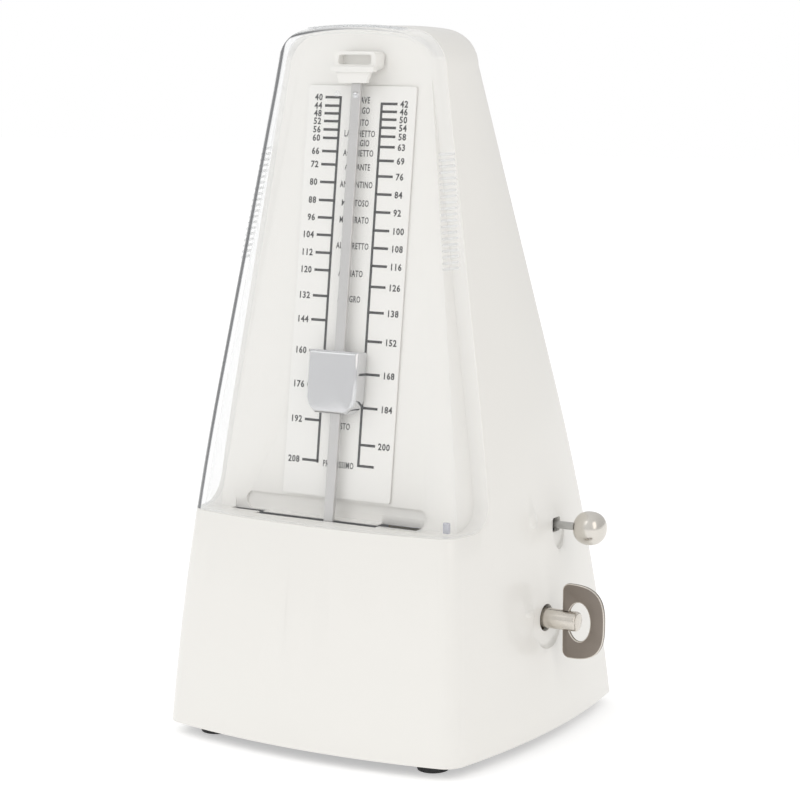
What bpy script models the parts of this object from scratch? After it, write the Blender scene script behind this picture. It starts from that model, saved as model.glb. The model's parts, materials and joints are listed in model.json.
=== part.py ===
"""A wind-up pyramid metronome, built as the separate pieces it comes apart into.

Every length below is in millimetres and every builder scales it to metres. X runs to the right,
Y to the back and Z up. The origin is on the floor under the middle of the base until main() moves
every piece to the frame's own origin, under the middle of the whole outline with the key.
"""

import math

import bmesh
import bpy
from mathutils import Vector

MM = 0.001
GAP = 0.3
FRAME_X = -8.75

# Housing: half sizes of the base, how fast they shrink with height, and the bulge of each side.
FLOOR_GAP = 4.0
TOP = 225.0
BASE_HALF_X = 52.8
BASE_HALF_Y = 53.8
CURVED_HEIGHT = 108.5
SIDE_TAPER = (0.1519, 0.267)
FRONT_TAPER = (0.1335, 0.747)
BACK_TAPER = (0.2414, 0.714)
SIDE_BULGE = 5.5
FACE_BULGE = 6.0
CORNER_RADIUS = 7.0
ARCH_RADIUS = 150.0
RIM_HEIGHT = 214.0
RIM_ROUND_SIDE = 11.0
RIM_ROUND_FACE = 3.0
WALL = 2.4

# The recess that the pendulum stands in.
LEDGE = 72.6
LEAN = 0.128
LEAN_ANGLE = math.atan(LEAN)
PANEL_Y = -45.4
STEP_Y = -32.47
STEP_LEAN = 0.0667
STEP_ROUND = 9.0
CORE_INSET = 5.0
COVER_WALL = 2.0
PLATE_HALF_X = 20.0
PLATE_Z = (78.9, 206.6)
PLATE_THICK = 0.5

# Pendulum: the rod's mid-plane leans back with the panel.
ROD_Y = -49.2
ROD_WIDTH = 3.5
ROD_THICK = 1.2
PIVOT_Z = 46.0
ROD_TOP_Z = 210.6
WEIGHT_Z = 115.5
WEIGHT_SIZE = (18.0, 6.4, 19.6)

# Controls on the right side.
KEY_YZ = (1.0, 40.0)
KEY_X = (61.2, 75.8)
KNOB_X = 63.7
KNOB_RADIUS = 5.4

# Movement: plates, wheels and arbors, all turning about lines along X.
INNER_PLATE_X = 12.0
OUTER_PLATE_X = 40.0
PLATE_METAL = 1.6
GREAT_TEETH, GREAT_MODULE = 70, 0.6
SECOND_LEAVES = 10
SECOND_TEETH, SECOND_MODULE = 60, 0.5
ESCAPE_LEAVES = 8
BELL_TEETH = 31
ESCAPE_S = 17.45
CROWN_RADIUS = 8.8
CROWN_TEETH = 15

FEET_XY = (40.5, 44.5)
SCREW_XY = (48.0, 24.0)
BELL_YZ = (6.0, 96.0)
HAMMER_YZ = (26.0, 70.0)

X_AXIS = Vector((1, 0, 0))
Y_AXIS = Vector((0, 1, 0))
Z_AXIS = Vector((0, 0, 1))
SWING_AXIS = Vector((0, math.cos(LEAN_ANGLE), -math.sin(LEAN_ANGLE)))
ROD_AXIS = Vector((0, math.sin(LEAN_ANGLE), math.cos(LEAN_ANGLE)))
PIVOT = Vector((0, ROD_Y + LEAN * PIVOT_Z, PIVOT_Z))


def wheel_centres():
    """The second arbor and the bell cams, each where its teeth mesh, and the escape arbor."""
    winding = Vector((0, *KEY_YZ))
    escape = PIVOT + SWING_AXIS * ESCAPE_S
    first = GREAT_MODULE * (GREAT_TEETH + SECOND_LEAVES) / 2
    second = SECOND_MODULE * (SECOND_TEETH + ESCAPE_LEAVES) / 2
    across = escape - winding
    along = (first**2 - second**2 + across.length**2) / (2 * across.length)
    aside = math.sqrt(first**2 - along**2)
    across.normalize()
    below = Vector((0, -across.z, across.y))
    bell = GREAT_MODULE * (GREAT_TEETH + BELL_TEETH) / 2
    bell_y = 13.0
    cams = winding + Vector((0, bell_y, math.sqrt(bell**2 - bell_y**2)))
    return winding, winding + across * along + below * aside, escape, cams


WINDING, SECOND, ESCAPE, CAMS = wheel_centres()


# ---------------------------------------------------------------- materials

FINISHES = {
    "ivory_plastic": ((0.84, 0.83, 0.79, 1), 0.25, 0.0),
    "clear_plastic": ((0.90, 0.93, 0.95, 1), 0.05, 0.0),
    "black_rubber": ((0.02, 0.02, 0.02, 1), 0.80, 0.0),
    "satin_steel": ((0.60, 0.59, 0.57, 1), 0.35, 1.0),
    "chrome": ((0.80, 0.80, 0.82, 1), 0.08, 1.0),
    "nickel": ((0.45, 0.40, 0.34, 1), 0.28, 1.0),
    "brass": ((0.72, 0.52, 0.22, 1), 0.30, 1.0),
    "blue_steel": ((0.10, 0.13, 0.22, 1), 0.30, 1.0),
    "lead": ((0.25, 0.25, 0.27, 1), 0.60, 1.0),
    "dark_plastic": ((0.06, 0.06, 0.06, 1), 0.50, 0.0),
}


def finish(name):
    """A Principled material for one of the finishes, made once."""
    found = bpy.data.materials.get(name)
    if found:
        return found
    colour, roughness, metallic = FINISHES[name]
    made = bpy.data.materials.new(name)
    made.use_nodes = True
    shader = made.node_tree.nodes["Principled BSDF"]
    shader.inputs["Base Color"].default_value = colour
    shader.inputs["Roughness"].default_value = roughness
    shader.inputs["Metallic"].default_value = metallic
    made.diffuse_color = colour
    return made


# ---------------------------------------------------------------- solids

def add(name, verts, faces, material, origin=(0, 0, 0)):
    """One object from points in millimetres, with its origin on a joint's axis where it moves."""
    start = Vector(origin)
    mesh = bpy.data.meshes.new(name)
    mesh.from_pydata([(Vector(v) - start) * MM for v in verts], [], faces)
    work = bmesh.new()
    work.from_mesh(mesh)
    bmesh.ops.recalc_face_normals(work, faces=work.faces)
    work.to_mesh(mesh)
    work.free()
    mesh.materials.append(finish(material))
    made = bpy.data.objects.new(name, mesh)
    made.location = start * MM
    bpy.context.scene.collection.objects.link(made)
    mesh.shade_smooth()
    mesh.set_sharp_from_angle(angle=math.radians(35))
    return made


def rings(loops, closed=False, tip=None):
    """Faces that join equal rings of points, capped flat or to a tip unless the stack is closed."""
    count = len(loops[0])
    verts = [v for loop in loops for v in loop]
    faces = []
    turns = len(loops) if closed else len(loops) - 1
    for i in range(turns):
        j = (i + 1) % len(loops)
        for k in range(count):
            n = (k + 1) % count
            faces.append((i * count + k, i * count + n, j * count + n, j * count + k))
    last = (len(loops) - 1) * count
    if not closed:
        faces.append(tuple(range(count))[::-1])
    if tip is not None:
        verts.append(tip)
        faces += [(last + k, last + (k + 1) % count, last + count) for k in range(count)]
    elif not closed:
        faces.append(tuple(last + k for k in range(count)))
    return verts, faces


def combine(target, tool, operation="DIFFERENCE"):
    """Cuts or joins one solid with another and drops the tool."""
    change = target.modifiers.new("shape", "BOOLEAN")
    change.solver = "EXACT"
    change.operation = operation
    change.object = tool
    bpy.context.view_layer.update()
    seen = target.evaluated_get(bpy.context.evaluated_depsgraph_get())
    result = bpy.data.meshes.new_from_object(seen)
    target.modifiers.remove(change)
    old = target.data
    target.data = result
    bpy.data.meshes.remove(old)
    bpy.data.objects.remove(tool)
    return target


def frame_of(axis):
    """Two directions square to an axis, the first as near to level as it can be."""
    axis = Vector(axis).normalized()
    side = X_AXIS if abs(axis.x) < 0.9 else Y_AXIS
    second = axis.cross(side).normalized()
    return second.cross(axis), second


def turned(name, material, centre, axis, profile, sides=24, origin=None, ring=False):
    """A turned solid. The profile lists (radius, distance along the axis) from one end to the other."""
    centre, axis = Vector(centre), Vector(axis).normalized()
    u, v = frame_of(axis)
    loops = []
    for radius, along in profile:
        radius = max(radius, 0.02)
        loops.append([
            centre + axis * along + (u * math.cos(a) + v * math.sin(a)) * radius
            for a in (2 * math.pi * k / sides for k in range(sides))
        ])
    verts, faces = rings(loops, closed=ring)
    return add(name, verts, faces, material, centre if origin is None else origin)


def rod(name, material, centre, axis, radius, start, end, sides=16, origin=None):
    """A plain round bar between two distances along its axis."""
    profile = [(radius, start), (radius, end)]
    return turned(name, material, centre, axis, profile, sides, origin)


def tube(name, material, centre, axis, inner, outer, start, end, sides=24, origin=None):
    """A round sleeve or washer."""
    profile = [(inner, start), (outer, start), (outer, end), (inner, end)]
    return turned(name, material, centre, axis, profile, sides, origin, ring=True)


def extruded(name, material, outline, place, start, end, origin=(0, 0, 0)):
    """An outline pushed from one distance to another. place turns (u, v, distance) to a point."""
    loops = [[place(u, v, along) for u, v in outline] for along in (start, end)]
    verts, faces = rings(loops)
    return add(name, verts, faces, material, origin)


def on_x(u, v, along):
    """Outline in Y and Z, pushed along X."""
    return Vector((along, u, v))


def on_z(u, v, along):
    """Outline in X and Y, pushed along Z."""
    return Vector((u, v, along))


def on_face(u, v, along):
    """Outline in X and Z on a plane that leans with the panel, pushed along Y."""
    return Vector((u, along + LEAN * v, v))


def on_swing(u, v, along):
    """Outline across and up the pendulum, pushed along its swing axis from the pivot."""
    return PIVOT + X_AXIS * u + ROD_AXIS * v + SWING_AXIS * along


def box(name, material, low, high, origin=(0, 0, 0)):
    """A block between two corners."""
    outline = [(low[0], low[1]), (high[0], low[1]), (high[0], high[1]), (low[0], high[1])]
    return extruded(name, material, outline, on_z, low[2], high[2], origin)


def rounded(low, high, radius, steps=4):
    """A rectangle outline with round corners."""
    outline = []
    corners = (
        (high[0], low[1], -90),
        (high[0], high[1], 0),
        (low[0], high[1], 90),
        (low[0], low[1], 180),
    )
    for x, y, start in corners:
        cx = x - math.copysign(radius, x - (low[0] + high[0]) / 2)
        cy = y - math.copysign(radius, y - (low[1] + high[1]) / 2)
        for k in range(steps + 1):
            a = math.radians(start + 90 * k / steps)
            outline.append((cx + radius * math.cos(a), cy + radius * math.sin(a)))
    return outline


# ---------------------------------------------------------------- the pyramid form

def shrink(z, taper):
    """How much a half size has shrunk at a height: slowly near the floor, then in a straight line."""
    rate, start = taper
    up = min(max(z - FLOOR_GAP, 0.0), CURVED_HEIGHT)
    past = max(z - FLOOR_GAP - CURVED_HEIGHT, 0.0)
    return rate * (start * up + (1 - start) * up**2 / (2 * CURVED_HEIGHT) + past)


def side_arcs(half_x, half_y, bulge_x, bulge_y, corner):
    """Arc centres and radii of a rectangle with bulging sides, and the corner arc between them."""
    radius_x = (half_y**2 + bulge_x**2) / (2 * bulge_x)
    radius_y = (half_x**2 + bulge_y**2) / (2 * bulge_y)
    centre_x = half_x + bulge_x - radius_x
    centre_y = half_y + bulge_y - radius_y
    a, b = radius_x - corner, radius_y - corner
    span = math.hypot(centre_x, centre_y)
    along = (a**2 - b**2 + span**2) / (2 * span)
    aside = math.sqrt(max(a**2 - along**2, 0.0))
    to = (Vector((0, centre_y)) - Vector((centre_x, 0))) / span
    out = Vector((-to.y, to.x))
    base = Vector((centre_x, 0)) + to * along
    spots = (base + out * aside, base - out * aside)
    spot = max(spots, key=lambda p: p.x + p.y)
    return centre_x, radius_x, centre_y, radius_y, spot


def section(z, inset, side_steps=4, corner_steps=4):
    """The plan outline at a height, as (x, y, outward normal), starting at the right and going round."""
    half_x = BASE_HALF_X - shrink(z, SIDE_TAPER) - inset
    front = BASE_HALF_Y - shrink(z, FRONT_TAPER) - inset
    back = BASE_HALF_Y - shrink(z, BACK_TAPER) - inset
    middle, half_y = (back - front) / 2, (back + front) / 2
    fade = 1 - 0.5 * (z - FLOOR_GAP) / (TOP - FLOOR_GAP)
    corner = max(CORNER_RADIUS - inset, 1.5)
    cx, rx, cy, ry, spot = side_arcs(half_x, half_y, SIDE_BULGE * fade, FACE_BULGE * fade, corner)
    first = math.atan2(spot.y, spot.x - cx)
    last = math.atan2(spot.y - cy, spot.x)
    quarter = []
    for k in range(side_steps):
        a = first * k / side_steps
        quarter.append((cx + rx * math.cos(a), rx * math.sin(a), math.cos(a), math.sin(a)))
    for k in range(corner_steps):
        a = first + (last - first) * k / corner_steps
        nx, ny = math.cos(a), math.sin(a)
        quarter.append((spot.x + corner * nx, spot.y + corner * ny, nx, ny))
    for k in range(side_steps + 1):
        a = last + (math.pi / 2 - last) * k / side_steps
        quarter.append((ry * math.cos(a), cy + ry * math.sin(a), math.cos(a), math.sin(a)))
    left = [(-x, y, -nx, ny) for x, y, nx, ny in quarter[-2::-1]]
    rear = quarter + left
    front_half = [(x, -y, nx, -ny) for x, y, nx, ny in rear[-2:0:-1]]
    return [(x, y + middle, nx, ny) for x, y, nx, ny in rear + front_half]


def arch(x, inset):
    """Height of the top surface."""
    return TOP - inset - ARCH_RADIUS + math.sqrt(ARCH_RADIUS**2 - x**2)


def pyramid(name, material, inset, bottom, heights, side_steps=4, corner_steps=4, round_steps=4):
    """The closed outer form, or one inside it by the inset, from a flat bottom to the arched top."""
    top_ring = section(RIM_HEIGHT, inset, side_steps, corner_steps)
    rim = []
    for x, _, nx, ny in top_ring:
        radius = max(RIM_ROUND_SIDE * nx**2 + RIM_ROUND_FACE * ny**2 - inset, 1.0)
        rim.append((radius, arch(x, inset) - radius))
    loops = []
    for share in heights:
        loop = []
        for k, (_, start) in enumerate(rim):
            z = bottom + (start - bottom) * share
            x, y, _, _ = section(z, inset, side_steps, corner_steps)[k]
            loop.append((x, y, z))
        loops.append(loop)
    edge = loops[-1]
    half_x = max(p[0] for p in edge)
    low, high = min(p[1] for p in edge), max(p[1] for p in edge)
    middle = (low + high) / 2
    shrink_x = max(RIM_ROUND_SIDE - inset, 1.0) / half_x
    shrink_y = max(RIM_ROUND_FACE - inset, 1.0) * 2 / (high - low)
    inner = []
    for step in range(1, round_steps + 1):
        a = math.pi / 2 * step / round_steps
        near = 1 - math.cos(a)
        inner = []
        for (radius, _), (x, y, _) in zip(rim, edge, strict=True):
            x *= 1 - shrink_x * near
            y = middle + (y - middle) * (1 - shrink_y * near)
            inner.append((x, y, arch(x, inset) - radius * (1 - math.sin(a))))
        loops.append(inner)
    for share in (0.6, 0.2):
        loops.append([
            (x * share, middle + (y - middle) * share, arch(x * share, inset)) for x, y, _ in inner
        ])
    verts, faces = rings(loops, tip=(0, middle, arch(0, inset)))
    return add(name, verts, faces, material)


def step_profile(offset):
    """The line, in Y and Z, that parts the clear cover from the body: down the step and out along the ledge."""
    ledge = LEDGE - offset
    at_ledge = STEP_Y + STEP_LEAN * ledge + offset
    profile = [(STEP_Y + STEP_LEAN * (TOP + 20) + offset, TOP + 20)]
    radius = STEP_ROUND + offset
    for k in range(6):
        a = math.radians(90 * k / 5)
        y = at_ledge + STEP_LEAN * radius - radius + radius * math.cos(a)
        profile.append((y, ledge + radius - radius * math.sin(a)))
    profile.append((-90.0, ledge))
    profile.append((-90.0, TOP + 20))
    return profile


def front_tool(offset, name="front_tool"):
    """Everything in front of the step and above the ledge."""
    return extruded(name, "ivory_plastic", step_profile(offset), on_x, -90, 90)


def panel_tool(offset):
    """Everything in front of the leaning panel."""
    low, high = 20.0, TOP + 20
    outline = [
        (PANEL_Y + offset + LEAN * low, low),
        (PANEL_Y + offset + LEAN * high, high),
        (-120.0, high),
        (-120.0, low),
    ]
    return extruded("panel_tool", "ivory_plastic", outline, on_x, -90, 90)


def body_form(name, inset, bottom, heights):
    """The body with its step and its raised leaning panel, solid."""
    outer = pyramid(name, "ivory_plastic", inset, bottom, heights)
    combine(outer, front_tool(inset))
    core = pyramid("core", "ivory_plastic", inset + CORE_INSET, LEDGE - 22, (0, 0.2, 0.45, 1))
    combine(core, panel_tool(inset))
    below = box("below", "ivory_plastic", (-90, -90, 0), (90, 90, LEDGE - inset - 5))
    combine(core, below)
    return combine(outer, core, "UNION")


WALL_STEPS = (0, 0.08, 0.17, 0.28, 0.4, 0.52, 1)


def housing():
    """The one-piece ivory shell: walls, ledge, panel, slot, screw posts and the holes on its right side."""
    shell = body_form("housing", 0.0, FLOOR_GAP, WALL_STEPS)
    cavity = body_form("cavity", WALL, FLOOR_GAP - 2, (0, 0.12, 0.26, 0.4, 0.52, 1))
    for sx in (-1, 1):
        for sy in (-1, 1):
            x, y = SCREW_XY[0], SCREW_XY[1] * sy
            low = (min(sx * (x - 4.5), sx * (x + 20)), y - 5, 8.1)
            high = (max(sx * (x - 4.5), sx * (x + 20)), y + 5, 24.0)
            combine(cavity, box("post", "ivory_plastic", low, high))
    combine(shell, cavity)
    for sx in (-1, 1):
        for sy in (-1, 1):
            spot = (sx * SCREW_XY[0], sy * SCREW_XY[1], 0)
            combine(shell, rod("hole", "ivory_plastic", spot, Z_AXIS, 1.8, 6, 18, 8))
    slot_y = ROD_Y + LEAN * LEDGE
    slots = (
        ((-27.0, slot_y - 1.9), (18.0, slot_y + 1.9)),
        ((16.5, slot_y + 0.4), (31.3, slot_y + 5.2)),
        ((-38.0, slot_y + 1.2), (-26.0, slot_y + 4.2)),
    )
    for low, high in slots:
        combine(shell, box("slot", "ivory_plastic", (*low, LEDGE - 6), (*high, LEDGE + 4)))
    pocket = rounded((-34.0, LEDGE + GAP), (33.0, 78.2), 2.6)
    combine(shell, extruded("pocket", "ivory_plastic", pocket, on_face, PANEL_Y - 3, PANEL_Y + 1.1))
    combine(shell, rod("key_hole", "ivory_plastic", WINDING, X_AXIS, 4.35, 45, 70, 20))
    combine(shell, rod("key_dish", "ivory_plastic", WINDING, X_AXIS, 9.5, 55.1, 70, 24))
    hole = [(CAMS.y + u, CAMS.z + v) for u, v in rounded((-2.5, -2.3), (2.5, 2.3), 0.8, 2)]
    combine(shell, extruded("rod_hole", "ivory_plastic", hole, on_x, 40, 70))
    dish = [
        (CAMS.y + 4.6 * math.cos(a), CAMS.z + 7.8 * math.sin(a))
        for a in (2 * math.pi * k / 20 for k in range(20))
    ]
    combine(shell, extruded("rod_dish", "ivory_plastic", dish, on_x, 51.6, 70))
    return shell


def front_cover():
    """The clear tray over the recess: front, sides and arched top, open at the back and at the ledge."""
    heights = (0, 0.2, 0.45, 1)
    bottom = LEDGE - 8
    cover = pyramid("front_cover", "clear_plastic", 0.0, bottom, heights)
    hollow = pyramid("hollow", "clear_plastic", COVER_WALL, bottom - 4, heights)
    combine(cover, hollow)
    return combine(cover, front_tool(-GAP), "INTERSECT")


def scale_plate():
    """The thin printed plate let into the panel."""
    low, high = PLATE_Z
    outline = rounded((-PLATE_HALF_X, low), (PLATE_HALF_X, high), 1.0, 3)
    face = PANEL_Y - GAP
    return extruded("scale_plate", "ivory_plastic", outline, on_face, face - PLATE_THICK, face)


def rod_catch():
    """The hook at the top of the panel: a block with a window, a lip, and a flap before the rod's tip."""
    face = PANEL_Y - 3 * GAP
    outline = rounded((-7.6, 211.4), (7.6, 217.2), 1.6, 3)
    catch = extruded("rod_catch", "ivory_plastic", outline, on_face, -51.6, face)
    window = rounded((-6.0, 213.2), (6.0, 216.2), 0.8, 2)
    combine(catch, extruded("window", "ivory_plastic", window, on_face, -60, -48.4))
    flap = [(-4.9, 207.6), (4.9, 207.6), (6.6, 212.0), (-6.6, 212.0)]
    combine(catch, extruded("flap", "ivory_plastic", flap, on_face, -52.2, -50.6), "UNION")
    lip = rounded((-7.9, 210.9), (7.9, 212.6), 0.7, 2)
    return combine(catch, extruded("lip", "ivory_plastic", lip, on_face, -52.9, -50.5), "UNION")


def base():
    """The plate that closes the bottom, its screws and the rubber feet."""
    plate_ring = [(x, y) for x, y, _, _ in section(6.0, WALL + 1.1)]
    plate = extruded("base_plate", "dark_plastic", plate_ring, on_z, 4.8, 7.8)
    names = {(-1, -1): "front_left", (1, -1): "front_right", (-1, 1): "rear_left", (1, 1): "rear_right"}
    for (sx, sy), where in names.items():
        screw = (sx * SCREW_XY[0], sy * SCREW_XY[1], 0)
        combine(plate, rod("hole", "dark_plastic", screw, Z_AXIS, 1.9, 3, 9, 8))
        combine(plate, rod("hole", "dark_plastic", screw, Z_AXIS, 3.6, 3, 6.4, 12))
        profile = [(2.6, 4.9), (3.2, 5.2), (3.2, 6.1), (1.5, 6.1), (1.5, 15.5), (0.4, 16.8)]
        turned("base_screw_" + where, "satin_steel", screw, Z_AXIS, profile, 10)
        foot = (sx * FEET_XY[0], sy * FEET_XY[1], 0)
        combine(plate, rod("hole", "dark_plastic", foot, Z_AXIS, 2.2, 3, 9, 10))
        profile = [(4.0, 0), (4.4, 0.5), (4.75, 4.4), (1.8, 4.4), (1.8, 8.2), (1.4, 9.0)]
        turned("foot_" + where, "black_rubber", foot, Z_AXIS, profile, 16)
    for k in range(6):
        a = 2 * math.pi * k / 6
        outline = rounded((-1.4, -5.0), (1.4, 5.0), 1.3, 1)
        c, s = math.cos(a), math.sin(a)
        outline = [(x * c - (y - 14) * s - 12, x * s + (y - 14) * c) for x, y in outline]
        combine(plate, extruded("sound_slot", "dark_plastic", outline, on_z, 3, 9))
    for y in (-33.0, 20.0):
        for x in (INNER_PLATE_X + 6, OUTER_PLATE_X - 6):
            combine(plate, rod("hole", "dark_plastic", (x, y, 0), Z_AXIS, 1.5, 3, 9, 8))


# ---------------------------------------------------------------- pendulum

def pendulum():
    """The rod with its counterweight and arbor, and the two pallets that the crown wheel pushes."""
    half, thick = ROD_WIDTH / 2, ROD_THICK / 2
    top = (ROD_TOP_Z - PIVOT_Z) / math.cos(LEAN_ANGLE)
    outline = [(-half, -34.0), (half, -34.0), (half, top - 1)]
    outline += [(half - 1, top), (1 - half, top), (-half, top - 1)]
    extruded("pendulum_rod", "satin_steel", outline, on_swing, -thick, thick, PIVOT)
    weight = PIVOT - ROD_AXIS * 23
    lead = turned("counterweight", "lead", weight, SWING_AXIS,
                  [(10.8, -5.0), (11.8, -4.0), (11.8, 4.0), (10.8, 5.0)], 24, PIVOT)
    channel = [(-half - GAP, -40.0), (half + GAP, -40.0), (half + GAP, 0.0), (-half - GAP, 0.0)]
    combine(lead, extruded("channel", "lead", channel, on_swing, -thick - GAP, 12))
    hub = [(4.0, 0.9), (4.0, 2.9), (1.5, 2.9), (1.5, 33.0), (1.1, 33.6)]
    turned("pendulum_arbor", "satin_steel", PIVOT, SWING_AXIS, hub, 16)
    for name, offset, up in (("pallet_front", -8.2, 1), ("pallet_rear", 8.2, -1)):
        at = ESCAPE_S + offset
        collar = turned(name, "blue_steel", PIVOT, SWING_AXIS,
                        [(1.8, at - 1.6), (2.9, at - 1.6), (2.9, at + 1.6), (1.8, at + 1.6)], 14, PIVOT, True)
        a = math.radians(60) * up
        c, s = math.cos(a), math.sin(a)
        blade = ((2.2, -0.6), (4.4, -0.4), (4.4, 0.4), (2.2, 0.6))
        flag = [(u * c - v * s, u * s + v * c) for u, v in blade]
        combine(collar, extruded("flag", "blue_steel", flag, on_swing, at - 0.9, at + 0.9), "UNION")


def tempo_weight():
    """The chrome shield that slides on the rod, and the bow spring that holds it where it is put."""
    wide, deep, tall = WEIGHT_SIZE
    up = (WEIGHT_Z - PIVOT_Z) / math.cos(LEAN_ANGLE)
    half, low, high, edge = wide / 2, up - tall / 2, up + tall / 2, 0.8
    front = -ROD_THICK / 2 - 3.6

    def shield(inset):
        bottom = 5.75 - inset * 0.5
        return [
            (-half + inset, high - inset), (-half + inset, low + 4.6), (-half + inset + 0.9, low + 2.2),
            (-bottom, low + inset), (bottom, low + inset), (half - inset - 0.9, low + 2.2),
            (half - inset, low + 4.6), (half - inset, high - inset),
        ]

    loops = []
    for inset, along in ((edge, front), (0, front + edge), (0, front + deep - edge), (edge, front + deep)):
        loops.append([on_swing(u, v, along) for u, v in shield(inset)])
    origin = PIVOT + ROD_AXIS * up
    weight = add("tempo_weight", *rings(loops), "chrome", origin)
    slot = [(-2.1, low - 5), (2.1, low - 5), (2.1, high + 5), (-2.1, high + 5)]
    combine(weight, extruded("slot", "chrome", slot, on_swing, -1.0, 1.75))
    bow = []
    for k in range(9):
        v = up - 7 + 14 * k / 8
        bow.append((v, 1.5 - 0.35 * math.sin(math.pi * k / 8) ** 2))
    outer = [on_swing(0, v, along) for v, along in bow]
    inner = [p - SWING_AXIS * 0.2 for p in outer]
    side = [p + X_AXIS * 1.2 for p in outer + inner[::-1]]
    other = [p - X_AXIS * 1.2 for p in outer + inner[::-1]]
    add("weight_spring", *rings([side, other]), "blue_steel", origin)


def bracket():
    """The bent bracket that carries the pendulum arbor in two cheeks, beside the crown wheel."""
    def place(u, v, along):
        return PIVOT + X_AXIS * along + SWING_AXIS * u + ROD_AXIS * v

    near, far, thick = 5.5, 28.5, 1.2
    back = INNER_PLATE_X - GAP
    web = [(near - 0.4, -6.4), (far + thick + 0.4, -6.4), (far + thick + 0.4, 6.4), (near - 0.4, 6.4)]
    made = extruded("pendulum_bracket", "brass", web, place, back - 1.5, back)
    for start in (near, far):
        cheek = [(-5, -4), (-3, -6), (back - 0.5, -6), (back - 0.5, 6), (-3, 6), (-5, 4)]
        combine(made, extruded("cheek", "brass", cheek, on_swing, start, start + thick), "UNION")
        combine(made, rod("bearing", "brass", PIVOT, SWING_AXIS, 1.8, start - 2, start + 3, 14))
    return combine(made, rod("clear", "brass", ESCAPE, X_AXIS, 2.6, 5, 20, 14))


# ---------------------------------------------------------------- wheels

def teeth(count, module, phase, height=0.85, depth=1.25, width=0.36):
    """A toothed outline: each tooth narrows to its tip, with plenty of room beside it."""
    pitch = module * count / 2
    root, tip = pitch - depth * module, pitch + height * module
    turn = 2 * math.pi / count
    outline = []
    for k in range(count):
        a = phase + k * turn
        for radius, share in ((root, -0.62), (tip, -0.22), (tip, 0.22), (root, 0.62)):
            b = a + share * width * turn
            outline.append((radius * math.cos(b), radius * math.sin(b)))
    return outline


def mesh_phase(driver, driver_teeth, driver_phase, follower, follower_teeth):
    """The follower's phase that puts one of its gaps against a tooth of the driver on the line of centres."""
    away = follower - driver
    line = math.atan2(away.z, away.y)
    driver_turn = 2 * math.pi / driver_teeth
    follower_turn = 2 * math.pi / follower_teeth
    lead = ((driver_phase - line) / driver_turn) % 1.0
    return line + math.pi + follower_turn * (0.5 - lead)


def at_centre(centre):
    """Placement of an outline round an arbor along X."""
    def place(u, v, along):
        return Vector((along, centre.y + u, centre.z + v))
    return place


def wheel(name, material, centre, outline, start, end, bore):
    """A toothed wheel on an arbor along X."""
    made = extruded(name, material, outline, at_centre(centre), start, end, centre)
    if bore:
        combine(made, rod("bore", material, centre, X_AXIS, bore, start - 1, end + 1, 14))
    return made


def going_train():
    """Great wheel, second arbor with its wheel, and the escape arbor with its crown wheel."""
    great_phase = 0.0
    outline = teeth(GREAT_TEETH, GREAT_MODULE, great_phase)
    great = wheel("great_wheel", "brass", WINDING, outline, 33.0, 34.5, 2.8)
    for k in range(5):
        a = 2 * math.pi * (k + 0.5) / 5
        spot = WINDING + Vector((0, 10.5 * math.cos(a), 10.5 * math.sin(a)))
        combine(great, rod("window", "brass", spot, X_AXIS, 4.2, 30, 40, 12))
    post = WINDING + Vector((0, 17.6, 0))
    combine(great, rod("post", "brass", post, X_AXIS, 0.9, 21.0, 33.5, 10), "UNION")

    phase = mesh_phase(WINDING, GREAT_TEETH, great_phase, SECOND, SECOND_LEAVES)
    leaves = teeth(SECOND_LEAVES, GREAT_MODULE, phase, 0.8, 1.2, 0.34)
    second = rod("second_arbor", "satin_steel", SECOND, X_AXIS, 1.1, 11.6, 42.2, 14)
    combine(second, wheel("leaves", "satin_steel", SECOND, leaves, 31.0, 36.5, 0), "UNION")
    wheel("second_wheel", "brass", SECOND, teeth(SECOND_TEETH, SECOND_MODULE, 0.0), 17.0, 18.2, 1.4)

    phase = mesh_phase(SECOND, SECOND_TEETH, 0.0, ESCAPE, ESCAPE_LEAVES)
    leaves = teeth(ESCAPE_LEAVES, SECOND_MODULE, phase, 0.75, 1.15, 0.32)
    arbor = rod("escape_arbor", "satin_steel", ESCAPE, X_AXIS, 0.9, 6.5, 42.0, 14)
    combine(arbor, wheel("leaves", "satin_steel", ESCAPE, leaves, 15.4, 20.0, 0), "UNION")
    crown_wheel()


def crown_wheel():
    """The escape wheel: a cup whose saw teeth point at the pendulum arbor."""
    steps = ((0.0, 3.2), (0.12, 5.2), (0.55, 4.6))
    loops = []
    for k in range(CROWN_TEETH):
        for share, edge in steps:
            a = 2 * math.pi * (k + share) / CROWN_TEETH
            y, z = math.cos(a), math.sin(a)
            profile = ((1.2, 8.6), (CROWN_RADIUS, 8.6), (CROWN_RADIUS, edge), (CROWN_RADIUS - 0.9, edge),
                       (CROWN_RADIUS - 0.9, 7.6), (1.2, 7.6))
            loops.append([(x, ESCAPE.y + r * y, ESCAPE.z + r * z) for r, x in profile])
    return add("escape_wheel", *rings(loops, closed=True), "brass", ESCAPE)


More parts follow.
